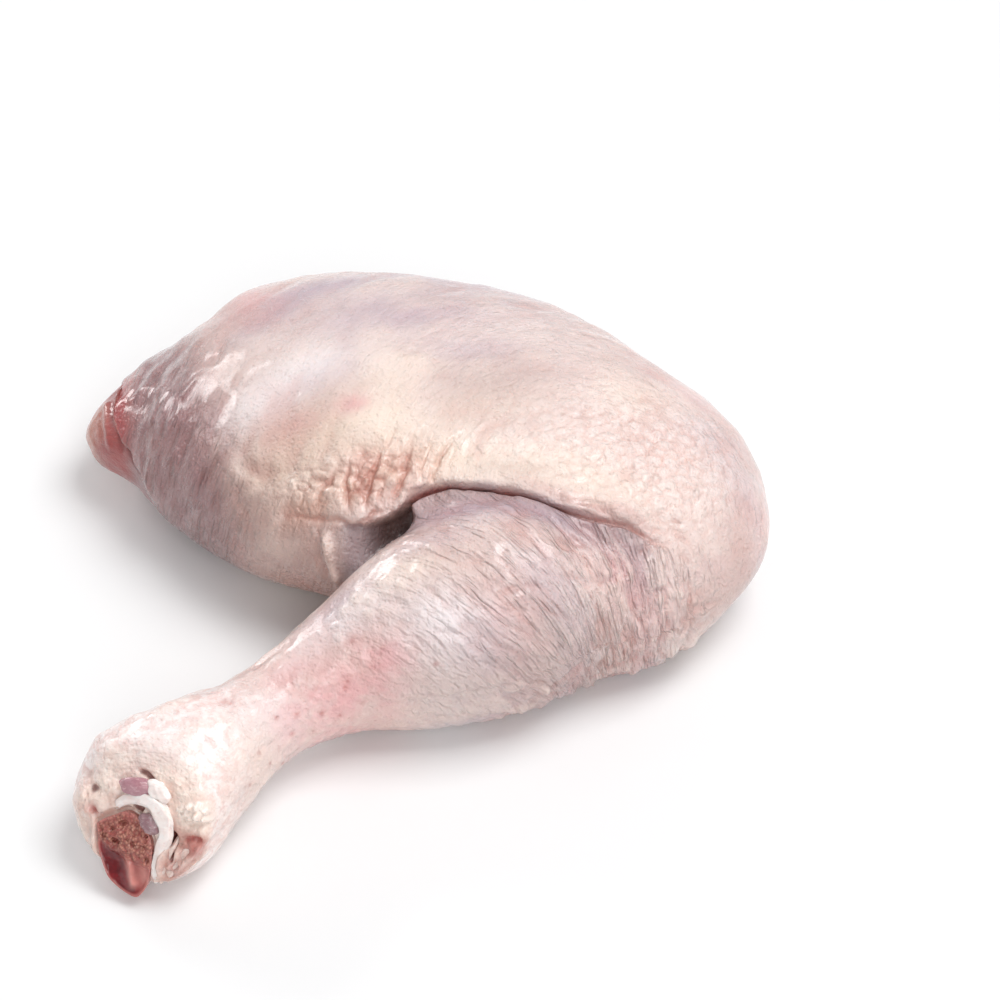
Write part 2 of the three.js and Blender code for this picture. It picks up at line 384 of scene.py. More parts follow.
def refined(thing, chosen, cuts):
    """The chosen faces of a mesh, each edge of theirs split into cuts + 1."""
    work = bmesh.new()
    work.from_mesh(thing.data)
    work.faces.ensure_lookup_table()
    edges = {edge for i in np.nonzero(chosen)[0] for edge in work.faces[i].edges}
    bmesh.ops.subdivide_edges(work, edges=list(edges), cuts=cuts, use_grid_fill=True)
    work.to_mesh(thing.data)
    work.free()
    thing.data.polygons.foreach_set("use_smooth", np.ones(len(thing.data.polygons), bool))


def read_rows(items, key, unit_size=1.0):
    """One three-number property of all vertices or faces, as rows."""
    flat = np.empty(3 * len(items), np.float32)
    items.foreach_get(key, flat)
    return flat.reshape(-1, 3).astype(float) / unit_size


def points_of(thing):
    return read_rows(thing.data.vertices, "co", MM)


def normals_of(thing):
    return read_rows(thing.data.vertex_normals, "vector")


def face_middles(thing):
    return read_rows(thing.data.polygons, "center", MM)


def set_points(thing, p):
    thing.data.vertices.foreach_set("co", (p * MM).astype(np.float32).ravel())
    thing.data.update()


def links_of(thing):
    """Each edge as two arrays of vertex numbers, and how many edges meet at each vertex."""
    flat = np.empty(2 * len(thing.data.edges), np.int32)
    thing.data.edges.foreach_get("vertices", flat)
    a, b = flat[::2].astype(np.int64), flat[1::2].astype(np.int64)
    return a, b, np.bincount(np.concatenate([a, b]), minlength=len(thing.data.vertices))


def neighbour_mean(p, links):
    a, b, many = links
    out = np.empty_like(p)
    for k in range(p.shape[1]):
        out[:, k] = np.bincount(a, p[b, k], len(p)) + np.bincount(b, p[a, k], len(p))
    return out / np.maximum(many, 1)[:, None]


def relax_near(p, links, at, radius, rounds):
    """Vertices near a point move towards the mean of their neighbours, most at its middle."""
    pull = 0.6 * np.maximum(0, 1 - (np.linalg.norm(p - at, axis=1) / radius) ** 2)
    pull[p[:, 2] < 0.01] = 0
    live = np.nonzero(pull > 0)[0]
    a, b, many = links
    keep = (pull[a] > 0) | (pull[b] > 0)
    a, b = a[keep], b[keep]
    used = np.unique(np.concatenate([a, b, live]))
    place = np.full(len(p), -1)
    place[used] = np.arange(len(used))
    q = p[used].copy()
    local = (place[a], place[b], np.bincount(np.concatenate([place[a], place[b]]), minlength=len(used)))
    w = pull[used][:, None]
    for _ in range(rounds):
        q += w * (neighbour_mean(q, local) - q)
    p = p.copy()
    p[used] = q
    return p


def wear(thing, values):
    """Writes named numbers or vectors on the vertices, for the materials to read."""
    for name, value in values.items():
        value = np.asarray(value, np.float32)
        kind = "FLOAT" if value.ndim == 1 else "FLOAT_VECTOR"
        mark = thing.data.attributes.new(name, kind, "POINT")
        mark.data.foreach_set("value" if value.ndim == 1 else "vector", value.ravel())


def close_rings(thing):
    """Joins the points of a grid's poles, shuts what is still open and turns the faces outwards."""
    work = bmesh.new()
    work.from_mesh(thing.data)
    bmesh.ops.remove_doubles(work, verts=work.verts, dist=1e-7)
    bmesh.ops.holes_fill(work, edges=work.edges, sides=0)
    bmesh.ops.recalc_face_normals(work, faces=work.faces)
    work.to_mesh(thing.data)
    work.free()
    thing.data.polygons.foreach_set("use_smooth", np.ones(len(thing.data.polygons), bool))


def cut_depth(p, cut):
    """Distance past the plane of a cut, in the outward direction."""
    return (p - np.array(cut["at"], float)) @ unit(cut["outward"])


# ---- The skin ------------------------------------------------------------------------------------

# Lines pressed into the skin or raised on it: points in plan (x, y) or in space (x, y, z), width, height.
THIGH_LINES = [
    # folds above the pocket
    ([(-7, 15), (-9, 11), (-12, 6), (-14, 0), (-16, -7)], 1.0, -1.0),
    ([(-2, 9), (-4, 3), (-6, -1), (-7, -7)], 1.0, -1.2),
    ([(12, 11), (7, 5), (5, 0), (1, -4)], 1.0, -1.0),
    ([(-20, 5), (-22, -1), (-20, -8)], 1.0, -0.8),
    ([(3, 17), (-3, 12), (-8, 8)], 0.9, 0.35),
    ([(15, 15), (10, 10), (7, 6)], 0.9, 0.35),
    ([(-27, 2), (-30, -2), (-31, -7)], 1.0, -0.6),
    ([(-12, 10), (-17, 4), (-18, 0)], 1.2, -0.6),
    # thick edge of the fat
    ([(-59, 17), (-57, 11), (-53, 6), (-48, 3), (-41, 0), (-36, -3)], 2.2, 0.7),
    ([(-57, 20), (-53, 11), (-48, 7), (-42, 5)], 2.0, -0.5),
    # red edge over the pocket
    ([(-46, -1), (-40, -4), (-34, -7), (-27, -9), (-20, -10), (-13, -9), (-6, -7)], 0.8, -0.9),
    # raised creamy lines
    ([(-8, 43), (-3, 42), (3, 43)], 1.0, 0.9),
    ([(-7, 40), (0, 41)], 0.8, 0.35),
    ([(-1, 46), (5, 46), (11, 47)], 0.8, 0.5),
    ([(-11, 34), (-4, 34)], 0.9, 0.45),
    ([(0, 36), (5, 34)], 0.9, 0.4),
    ([(-44, 41), (-36, 45), (-28, 47)], 1.3, 0.3),
    ([(-42, 29), (-34, 32), (-26, 37)], 1.2, 0.3),
    ([(-38, 26), (-30, 30), (-20, 38)], 1.1, 0.25),
    ([(-6, 30), (-5, 24), (-6, 18)], 0.8, -0.35),
    # lip above the crease and the wrinkles that end it
    ([(38, -11), (46, -13), (55, -15), (61, -17), (67, -18)], 0.8, -1.2),
    ([(63, -14), (70, -18), (77, -18), (84, -16)], 1.0, -0.8),
    ([(70, -21), (77, -22), (85, -21)], 1.0, -0.8),
    ([(72, -14), (80, -14), (88, -11)], 0.9, -0.6),
    ([(76, -25), (84, -26), (90, -24)], 1.0, -0.6),
    ([(66, -9), (74, -9), (80, -7)], 0.9, -0.5),
    ([(73, -24), (76, -28), (77, -33)], 1.1, -0.9),
    # valley and bump of the kneecap
    ([(98, 6), (102, -4), (101, -14), (97, -24)], 4.5, -1.2),
    ([(108, 2), (110, -8), (107, -18)], 4.0, 0.9),
    # folds in the thin skin on the thigh's inner side
    ([(-29, -10, 49), (-28, -12, 44), (-27, -14, 38), (-26, -16, 30), (-25, -17, 22)], 1.1, 1.7),
    ([(-31, -9, 48), (-31, -11, 43), (-30, -13, 37), (-28, -15, 29)], 0.8, -0.7),
    ([(-34, -8, 47), (-33, -10, 43), (-32, -12, 36), (-30, -14, 27)], 1.0, 0.8),
    ([(-58, 7, 47), (-55, 2, 44), (-52, -3, 40), (-50, -5, 36)], 1.0, -0.4),
    # ripples and loose edges at the hip
    ([(-97, 57, 38), (-95, 59, 40), (-92, 61, 42)], 1.3, 0.6),
    ([(-93, 47, 38), (-90, 52, 41), (-86, 59, 46)], 1.3, 0.6),
    ([(-89, 42, 42), (-86, 47, 44), (-82, 54, 49)], 1.3, 0.6),
    ([(-82, 33, 46), (-79, 40, 50), (-74, 49, 54), (-71, 54, 56)], 1.4, 0.55),
    ([(-75, 24, 47), (-72, 28, 50), (-66, 35, 56)], 1.3, 0.45),
    ([(-86, 37, 42), (-87, 33, 38), (-88, 29, 31), (-87, 25, 22)], 0.9, 0.7),
    ([(-89, 39, 39), (-91, 37, 34), (-91, 33, 28), (-90, 29, 21)], 0.9, 0.7),
    ([(-83, 31, 42), (-83, 26, 36), (-83, 22, 27)], 1.4, -0.5),
]
# Small round lumps (height over 0) and pits, in plan: x, y, half sizes, turn, height.
THIGH_LUMPS = [
    (-8.5, -1.5, 1.6, 2.8, 0, 1.6), (-2, 2, 1.7, 2.8, -10, 1.4), (-4, -3.5, 2.4, 2.4, 0, 1.2),
    (-4, -3.5, 1.0, 1.0, 0, -1.3), (-18, -6, 3.0, 2.6, 0, 1.1), (-16.5, 7, 1.5, 1.5, 0, -0.8),
    (-18, 0.5, 2.4, 2.0, 0, 0.8), (-18, 0.5, 1.0, 0.9, 0, -0.9), (-24, -6, 2.2, 2.2, 0, 0.9),
    (-12.5, -4.5, 1.8, 2.4, 0, 0.9), (-12, 4, 1.5, 3.0, -20, 0.8), (-22, 6, 2.0, 1.6, 0, 0.6),
    (-27, -3, 2.6, 1.8, 20, 0.8), (-33, -2, 3.0, 1.8, 0, 0.6), (1, -2.5, 1.5, 1.8, 0, 0.9),
    (-24, 1, 1.6, 1.2, 0, -0.6), (-29, 5, 2.6, 2.0, 0, 0.4), (3, 2.5, 1.3, 2.0, -20, 0.6),
    (-6.5, 5, 1.3, 2.6, -25, 0.7), (12, 8, 1.6, 1.6, 0, 0.5), (66, 1, 2.2, 1.8, 0, -0.5),
    (78, 8, 2.2, 1.6, 0, 0.5), (66, 24, 3.0, 2.2, 0, 0.5), (-38, 2, 4.0, 2.0, -15, 0.5),
]
# The ankle's cut face has its own directions: u to the right, v up, h out of the face.
FACE_OUT = unit(ANKLE_CUT["outward"])
FACE_RIGHT = unit(np.cross((0, 0, 1), FACE_OUT))
FACE_UP = np.cross(FACE_OUT, FACE_RIGHT)
FACE_AT = np.array(ANKLE_CUT["at"], float)
# The cut bone's outline on that face, anticlockwise from its left corner.
BONE_OUTLINE = [(-11, 7), (-10, 3), (-9, -1), (-7, -5), (-5, -8), (-2, -10), (2, -11.5), (5, -11.5), (7, -8),
                (7.5, -4), (7.5, 0), (7, 4), (6, 7), (4, 9.5), (2, 11.5), (-0.5, 13), (-3, 13), (-6, 11),
                (-9, 9)]
BONE_MIDDLE = (-1, 1)
# Lines and lumps on the face: (u, v) points, width, height; then u, v, half sizes, turn, height.
FACE_LINES = [
    ([(12, 8), (11, 4), (10, 0), (10, -5)], 0.9, 1.2), ([(15.5, 7), (14, 3), (12.5, -2)], 1.0, 1.4),
    ([(22, 10), (20, 6), (17, 2), (14, -3)], 1.1, 1.5), ([(24, 7), (20, 2), (16, -3)], 1.1, 1.2),
    ([(18, 8), (16, 3), (14, -1)], 0.7, -0.9), ([(22, 6), (18.5, 1)], 0.7, -0.8),
    ([(16, 9.5), (19, 10.7), (22, 11.3)], 0.9, -1.3), ([(14, 16.5), (17, 15), (20, 15.4),
    (24, 16.6)], 0.9, -1.0),
    ([(-3, 25.4), (0, 25.4), (3, 23.8), (6, 23.4)], 0.9, -2.2), ([(-8, 22), (-6, 18), (-7, 14)], 1.2, -0.8),
    ([(-1.5, 15), (0.5, 14.8), (2.5, 14)], 0.8, -2.6), ([(-14, 7), (-11, 10), (-8, 11.5),
    (-5, 13)], 0.9, -1.0),
    ([(11, 22), (15, 24), (21, 24)], 1.4, 0.6),
]
FACE_LUMPS = [
    (12.8, 8.3, 1.2, 2.2, 8, -3.4), (13.2, 3.3, 0.7, 1.5, 0, -2.4), (-18, 19, 1.2, 2.0, -20, -1.8),
    (-14.6, 16, 1.7, 1.5, 0, -2.0), (-16.4, 13.5, 0.8, 1.0, 0, -1.2), (-13, 10.5, 1.2, 1.0, 0, -0.9),
    (-17, 23, 2.2, 1.8, 0, 0.9), (-12, 20, 2.4, 2.0, 0, 0.8), (-11, 13, 2.2, 2.0, 0, 0.9),
    (-19, 15, 1.8, 2.0, 0, 0.8),
    (-15, 9, 1.6, 1.6, 0, 0.7), (-8, 25, 3.0, 2.0, 10, 0.7), (14, 12, 2.6, 2.0, 0, 0.6),
    (20, 13, 2.6, 1.6, 10, 0.5),
    (9, 26, 4.0, 2.0, 0, 0.8), (24, 3, 2.2, 2.0, 0, 0.6),
]
FAT_BEADS = [(16.5, 18.4, 4.2, 2.8, 10, 1.0), (21.5, 19.4, 4.2, 3.0, 0, 1.0)]
# Holes on the face, painted dark red-brown as their shade, and red places: ovals, then lines, each with its
# strength last.
FACE_HOLES = ([(12.8, 8.3, 1.5, 2.5, 8, 1), (13.2, 3.3, 0.9, 1.8, 0, 1), (-14.6, 16, 1.6, 1.5, 0, 0.7),
               (-18, 19, 1.1, 1.8, -20, 0.6)],
              [([(-1.5, 15), (0.5, 14.8), (2.5, 14)], 1.0, 1), ([(-3, 25.4), (0, 25.4), (3, 23.8),
               (6, 23.4)], 0.9, 0.8)])
FACE_REDS = ([(-13, 10.5, 2.2, 1.6, 0, 1), (20, 8, 4.0, 3.0, 30, 0.8), (15, 0, 5, 4, 40, 0.5)],
             [([(16, 9.5), (19, 10.7), (22, 11.3)], 1.2, 1)])
# The crease where the thigh lies on the drumstick, in plan, and the lip's lower edge over the pocket: x, z.
CREASE = [(-10, -10.5), (-5.5, -7.5), (-2, -5.5), (4, -4), (10, -4), (19, -6.5), (28, -9), (37, -12.5),
          (46, -16),
          (55, -18.5), (64, -19), (69, -20), (72, -21.5), (75, -25)]
POCKET_EDGE = [(-34, 47.5), (-28, 49), (-20, 50.5), (-12, 52), (-4, 55)]
# Red-brown follicles on the skin of the drumstick, with their sizes.
FOLLICLES = [
    (-13, -60, 39, 1.3), (-10, -57, 44, 1.1), (-21, -63, 34, 1.4), (-16, -63, 28, 1.2), (-23, -66, 25, 1.2),
    (-19, -64, 22, 1.1), (-28, -68, 28, 1.5), (-35, -71, 31, 1.4), (-31, -70, 23, 1.2), (-27, -67, 19, 1.2),
    (-23, -65, 18, 1.1), (-37, -74, 26, 1.3), (-41, -79, 25, 1.2), (-40, -78, 17, 1.2), (-36, -73, 18, 1.1),
    (-41, -74, 33, 1.2), (-43, -84, 24, 1.1), (-46, -85, 30, 1.2), (-48, -93, 25, 1.0), (-38, -64, 38, 1.2),
    (-30, -65, 36, 1.1), (6, -60, 41, 1.2), (-19, -54, 45, 1.6), (-36, -46, 41, 1.3), (-56, -72, 39, 1.4),
    (-54, -73, 39, 1.3), (24, 9, 70, 1.1)]
# Where the skin's relief and tones lie, as ovals in plan: x, y, half sizes, turn in degrees, strength.
RELIEF_AREAS = {
    "pucker": [(-16, 0, 16, 7, 0, 1.0), (-6, 2, 10, 8, 0, 0.8), (-34, 0, 12, 5, -10, 0.6)],
    "fan": [(-4, 2, 17, 10, 20, 1.0), (-24, 0, 16, 7, 0, 0.7)],
    "bumpy": [(72, 0, 24, 20, -20, 1.0), (52, 20, 24, 17, 0, 0.6), (88, 12, 16, 18, 0, 0.4),
              (38, 2, 18, 9, 0, 0.4), (84, -20, 14, 9, -20, 0.6)],
    "calf": [(4, -40, 20, 13, 20, 0.9), (30, -52, 20, 8, 0, 0.6), (-18, -46, 18, 12, 30, 1.0)],
    "strong": [(66, -28, 16, 14, 0, 1), (40, -24, 20, 9, -20, 0.7)],
    "pimples": [(-26, -64, 26, 16, 20, 1.0), (-52, -86, 12, 14, 40, 0.7)],
}
TONE_AREAS = {
    "fat": [(-33, 14, 22, 12, 12, 0.9), (-14, 12, 14, 13, 0, 0.8), (12, 3, 16, 8, 0, 0.9),
            (36, -1, 22, 9, -8, 0.9),
            (57, -8, 14, 7, -18, 0.6), (-42, 5, 12, 6, -20, 0.7), (-10, 30, 8, 12, 0, 0.35),
            (-2, 40, 10, 6, 0, 0.4),
            (20, 22, 24, 10, 12, 0.45), (-2, -36, 10, 6, 10, 0.45), (-14, -42, 9, 4, 20, 0.35),
            (-50, -84, 14, 10, 30, 0.4), (-62, -104, 10, 8, 0, 0.5), (-84, -88, 10, 8, 0, 0.55),
            (66, 30, 12, 8, 0, 0.4)],
    "lilac": [(-4, 78, 60, 26, 0, 0.35), (30, 30, 26, 12, 10, 0.3),
              (-48, 76, 16, 7, 38, 0.8), (-32, 88, 30, 6, 12, 0.7), (-8, 66, 24, 9, 8, 0.7),
              (14, 92, 26, 7, -6, 0.6),
              (16, 46, 22, 7, 8, 0.45), (-34, 38, 18, 6, 30, 0.5), (14, -15, 20, 7, -6, 0.95),
              (38, -18, 18, 5, -16, 0.9), (-22, -42, 14, 7, 28, 0.7), (2, -30, 14, 6, 15, 0.5),
              (18, -56, 16, 7, -10, 0.6), (42, -44, 16, 9, -30, 0.5), (100, 6, 8, 16, 30, 0.4),
              (66, -28, 10, 8, -40, 0.5), (-66, 30, 8, 14, 0, 0.4), (90, 20, 12, 10, 0, 0.3)],
    "flush": [(-10, -58, 9, 7, 0, 0.95), (-21, -64, 9, 7, 20, 0.95), (-31, -68, 10, 8, 30, 0.9),
              (-36, -60, 9, 5, 30, 0.6), (-40, -72, 8, 8, 0, 0.6), (-60, 92, 9, 16, 30, 0.9),
              (-21, 25, 6, 4, 0, 0.8),
              (-37, 21, 7, 4, 0, 0.5), (111, -6, 5, 22, 0, 0.6), (84, 42, 18, 6, -35, 0.5),
              (98, -16, 10, 12, 0, 0.2),
              (60, -32, 12, 7, -40, 0.35), (26, -52, 10, 5, -10, 0.5), (-16, 2, 9, 8, 0, 0.55),
              (-4, -2, 8, 6, 0, 0.6), (-56, -72, 5, 4, 0, 0.5), (70, -38, 12, 8, -40, 0.2)],
    # Whiter patches: the first two, on the thigh's upper left, are a painted sheen; the others lighten the
    # skin.
    "white": [(-48, 34, 16, 9, 30, 0.9), (-34, 44, 14, 8, 20, 0.7), (30, 4, 22, 7, -12, 0.3),
              (-30, -52, 12, 6, 35, 0.8), (-14, -44, 10, 6, 30, 0.5), (-74, -92, 14, 12, 30, 0.6),
              (8, -52, 16, 8, -10, 0.9), (-46, -76, 16, 8, 40, 0.6)],
    # Darker patches: painted shade on parts of the thigh, the knee and the drumstick's lower side.
    "dusky": [(25, 33, 22, 12, 10, 0.8), (31, -4, 20, 5, -10, 0.8), (97, -14, 12, 16, 0, 0.6),
              (43, -54, 18, 9, 0, 0.6), (20, -62, 26, 6, 10, 0.7), (56, -17, 12, 4, -20, 0.5),
              (-64, 48, 10, 10, 0, 0.4)],
    "folded": [(-10, 1, 12, 7, 0, 1.0), (-22, -2, 12, 6, 0, 0.9), (-35, -4, 9, 4, 0, 0.7),
               (2, 1, 7, 6, 0, 0.7)],
}


def on_face(p):
    """Each point's u, v and h on the ankle's cut face."""
    rel = p - FACE_AT
    return rel @ FACE_RIGHT, rel @ FACE_UP, rel @ FACE_OUT


def from_face(u, v, h):
    return FACE_AT + u[..., None] * FACE_RIGHT + v[..., None] * FACE_UP + h[..., None] * FACE_OUT


def bone_reach(angle):
    """Distance of the bone's outline from its middle in each direction round it."""
    corners = np.array(BONE_OUTLINE) - BONE_MIDDLE
    ring = through(np.vstack([corners, corners[:1]]), np.linspace(0, 1, 200))
    turn, far = np.arctan2(ring[:, 1], ring[:, 0]), np.hypot(ring[:, 0], ring[:, 1])
    order = np.argsort(turn)
    return np.interp(angle, turn[order], far[order], period=2 * np.pi)


def evened(thing, low, share):
    """Twice draws each vertex half way to its neighbours' mean; what is below low by that share only."""
    p, links = points_of(thing), links_of(thing)
    for _ in range(2):
        step = 0.5 * (neighbour_mean(p, links) - p)
        step[p[:, 2] < low] *= share
        p += step
    return p, links


def skin_surface():
    """Both lobes grown into one skin, relaxed at the knee, with finer faces where the detail is."""
    rows, cols = ((200, 260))
    parts = []
    for stations, form in ((THIGH, THIGH_FORM), (DRUMSTICK[:-1] + [KNOB_END], DRUMSTICK_FORM)):
        t, a = ring_grid(eased(rows), cols)
        parts.append((lobe(stations, t, a, **form).reshape(-1, 3), grid_faces(rows, cols)[:, ::-1]))
    thing = mesh_of("skin", *fused("skin_blank", parts, SKIN_VOXEL))
    p, links = evened(thing, 0.3, 0.2)
    for place in (KNEE, GROOVE):
        p = relax_near(p, links, place["at"], place["radius"], place["rounds"] // (1))
    set_points(thing, p)
    x, y, z = face_middles(thing).T
    folds = (x > -60) & (x < 96) & (y > -30) & (y < 22) & (z > 24)
    rings = (x > -2) & (x < 96) & (y < -12) & (z > 3)
    rings |= (x > -56) & (x < -2) & (y < -46) & (z > 12)
    rings |= (x > -34) & (x < -2) & (y < -26) & (z > 34)
    hip = (x < -70) & (z > 14) & (y < 66)
    refined(thing, folds | rings | hip, 1)
    off, reach = off_crease(face_middles(thing))
    refined(thing, (np.abs(off - 0.5) < 2.2) & (reach > 0.1), 1)
    x, y, z = face_middles(thing).T
    refined(thing, (x > -40) & (x < 13) & (y > -9) & (y < 15) & (z > 44), 1)
    middles = face_middles(thing)
    u, v, h = on_face(middles)
    refined(thing, (h > -6) & (middles[:, 0] < -40) & (middles[:, 2] > 1) & (v < 25) & (np.abs(u) < 27), 2)
    set_points(thing, evened(thing, 0.3, 0)[0])
    return thing


def off_crease(p):
    """Distance from the crease in plan, over 0 on the thigh's side, and how much of a crease it is there."""
    line = np.array(CREASE, float)
    d, _ = near_line(p, CREASE)
    side = np.sign(p[:, 1] - np.interp(p[:, 0], line[:, 0], line[:, 1]))
    reach = smooth(p[:, 0], -9, 2) * (1 - smooth(p[:, 0], 64, 76)) * smooth(p[:, 2], 38, 48)
    return d * side, reach


def slant_of(x):
    """How far the drumstick's wrinkles lean along it for each millimetre round it: less at the knee."""
    return 0.1 + 0.45 * (1 - smooth(x, 40, 84))


def hip_way(x, y):
    """Distance towards the hip, square to the ripples of its film."""
    return -x - 0.25 * (y - 50)


def knee_reach(x, y, z):
    """Distance from the place in the knee that the thigh's short ridges run round."""
    return np.sqrt((x - 45) ** 2 + y ** 2 + (z - 30) ** 2)


def hang_lip(p, thigh):
    """Leans the thigh's lip out over the crease, and draws the skin under it back into a pocket; also gives
    where the pocket's painted shade goes.
    """
    off, reach = off_crease(p)
    line = np.array(CREASE, float)
    slope = np.interp(p[:, 0], (line[1:, 0] + line[:-1, 0]) / 2, np.diff(line[:, 1]) / np.diff(line[:, 0]))
    across = unit(np.stack([-slope, np.ones(len(p))], -1))
    ease = 1 - 0.55 * smooth(p[:, 0], 34, 62)
    lean = 2.4 * ease * bell(off, 2.0, 1.8) * smooth(off, 0.1, 1.2) * reach * (0.85 + 0.3 * noise(p, 6, 63))
    p = p.copy()
    p[:, :2] -= across * lean[:, None]
    p[:, 2] -= 1.8 * ease * bell(off, 0, 0.9) * reach
    x, y, z = p.T
    edge = np.interp(x, *np.array(POCKET_EDGE, float).T) + 0.8 * noise(p, 5, 64)
    inner = smooth(x, -31, -23) * smooth(thigh, 0.2, 0.7) * (1 - smooth(x, -7, 3)) * smooth(-y, 3, 7)
    inner = inner * (1 - smooth(-y, 19, 26))
    under = smooth(edge - z, -0.2, 1.4) * smooth(z, 16, 34) * inner
    depth = under * (1.0 + 8.0 * smooth(x, -24, -11) * smooth(z, 34, 46))
    over = bell(z - edge, 1.8, 2.0) * inner * smooth(x, -30, -20)
    p += depth[:, None] * np.array((0.4, 0.65, -0.65)) - over[:, None] * np.array((0.1, 1.3, 0.3))
    return p, under * smooth(x, -28, -20)


def skin_relief(p, n, thigh, s, w):
    """How far each vertex moves out along its normal, in millimetres, and the masks it leaves. Here s is
    the way along the drumstick and w the way round it."""
    x, y, z = p.T
    top = smooth(n[:, 2], -0.1, 0.35)
    calm = smooth(z, 0.5, 8)
    drum, on_thigh = 1 - thigh, smooth(thigh, 0.1, 0.6)
    area = {name: patches(p, rows) for name, rows in RELIEF_AREAS.items()}
    out = swell(p)
    # the listed marks wander a little
    q = p + np.stack([1.3 * noise(p, 8, 71) + 0.5 * noise(p, 3.2, 74), 1.3 * noise(p, 8, 72)
                      + 0.5 * noise(p, 3.2, 75), 0.8 * noise(p, 8, 73)], -1)
    uneven = 1 + 0.45 * noise(p, 5.5, 76)
    for points, width, height in THIGH_LINES:
        mark = line_mark(q, points, width) * on_thigh * (top if len(points[0]) == 2 else 1)
        out += height * mark * uneven
    for *spot, height in THIGH_LUMPS:
        out += height * patch(q, *spot) * top * on_thigh

    # puckered fat above the pocket, gathered into strands that run down to it
    _, gap = cobbles(q, 3.8, 15)
    out += 0.9 * (area["pucker"] * on_thigh * top) * (smooth(gap, 0, 0.45) - 0.5)
    strand = flow((0.9 * x - (0.45 - 0.01 * x) * y + 1.2 * noise(p, 9, 65)) / 3.9, (0.45 * x + 0.9 * y) / 15)
    out += 0.8 * (area["fan"] * on_thigh * top) * (smooth(np.abs(noise(strand, 1.0, 66)), 0, 0.3) - 0.6)

    # crease where the thigh leans over the drumstick
    off, reach = off_crease(p)
    out -= 1.5 * bell(off, 0, 1.1) * reach
    out += 1.3 * bell(off, 3.6, 3.2) * reach

    # the thin film at the hip hangs in ripples
    film = smooth(hip_way(x, y), 48, 72) * on_thigh * smooth(z, 16, 30)
    across = (x - 0.25 * (y + z) + 1.2 * noise(p, 8, 96)) / 3.4
    out += 0.8 * film * noise(flow(across, (y + z) / 16), 1.0, 97)
    out += 0.4 * film * noise(p, 5.5, 98)

    # goose bumps grown into cobbles at the right of the thigh, softer ones on the calf, short rows between
    _, gap = cobbles(q * np.array([1.0, 1.15, 1.0]), 4.8, 11)
    bumpy = area["bumpy"] * thigh * top
    out += 0.95 * bumpy * (smooth(gap, 0.0, 0.34) - 0.6) + 0.25 * bumpy * noise(p, 2.4, 35)
    out += 0.35 * bumpy * noise(p, 9, 37)
    near, _ = cobbles(q, 5.5, 36)
    calf = area["calf"] * drum
    out += 0.75 * calf * (smooth(0.62 - near, 0.0, 0.45) - 0.5) + 0.3 * calf * noise(p, 3.2, 38)
    rows = knee_reach(x, y, z) + 2.5 * noise(p, 16, 33)
    rows = noise(np.stack([rows / 3.6, x / 11, y / 11], -1), 1.0, 34)
    out += 0.5 * rows * on_thigh * top * (1 - 0.6 * bumpy) * smooth(x, -70, -40)

    # wrinkles round the drumstick, closer and longer towards the knee
    slant = s - slant_of(x) * w + (5 * noise(p, 22, 31) + 2.0 * noise(p, 9, 32))
    ridges = smooth(np.abs(noise(flow(slant / 4.6, w / 12), 1.0, 21)), 0, 0.4) - 0.5
    fine = noise(flow(slant / 3.0, w / 10, 3), 1.0, 22)
    wrinkled = (0.6 * smooth(x, -24, 10) + 0.4 * smooth(x, 10, 42)) * (1 - smooth(x, 84, 98))
    wrinkled = wrinkled * smooth(drum, 0.3, 0.8) * (1 - 0.45 * patch(p, 5, -38, 16, 9, 20)) * calm
    strong = wrinkled * (0.65 + 0.6 * area["strong"])
    puffs, _ = cobbles(flow(slant / 3.4, w / 6.5), 1.0, 23)
    out += 1.35 * strong * ridges + 0.35 * strong * fine + 0.4 * strong * (smooth(0.7 - puffs, 0, 0.5) - 0.5)
    # heavier lumps low on the drumstick
    low = smooth(x, 5, 30) * (1 - smooth(x, 82, 98)) * (1 - smooth(z, 18, 38)) * drum * calm
    out += 1.2 * low * (smooth(cobbles(q * np.array([1.0, 1.0, 0.75]), 8.0, 41)[1], 0, 0.5) - 0.5)

    # sinews of the shank, lumps of the ankle, pimples, and the dent beside them
    shank = (1 - smooth(x, -42, -30)) * drum
    sinew = noise(flow(s / 11, w / 3.0), 1.0, 51)
    out += 0.5 * shank * sinew * smooth(x, -86, -66) + 0.7 * shank * noise(p, 7, 52) * smooth(-x, 40, 66)
    out += 0.3 * shank * noise(p, 3.4, 54)
    near, _ = cobbles(q, 3.4, 55)
    out += 0.45 * (area["pimples"] * drum) * (smooth(0.55 - near, 0, 0.4) - 0.3)
    out += 0.6 * patch(p, -57, -70, 8, 3, 35) * noise(flow(s / 9, w / 1.8), 1.0, 53)
    out -= 0.8 * patch(p, -56, -74, 2.2, 1.8)
    # The crease mask is painted shade: a dark red-brown line down the crease.
    return out * (0.25 + 0.75 * calm), {
        "crease": bell(off, 0, 1.0) * reach * (1 - 0.5 * smooth(x, 30, 60)), "bumpy": bumpy,
        "wrinkled": wrinkled, "cracks": bumpy * (1 - smooth(gap, 0.02, 0.2))}


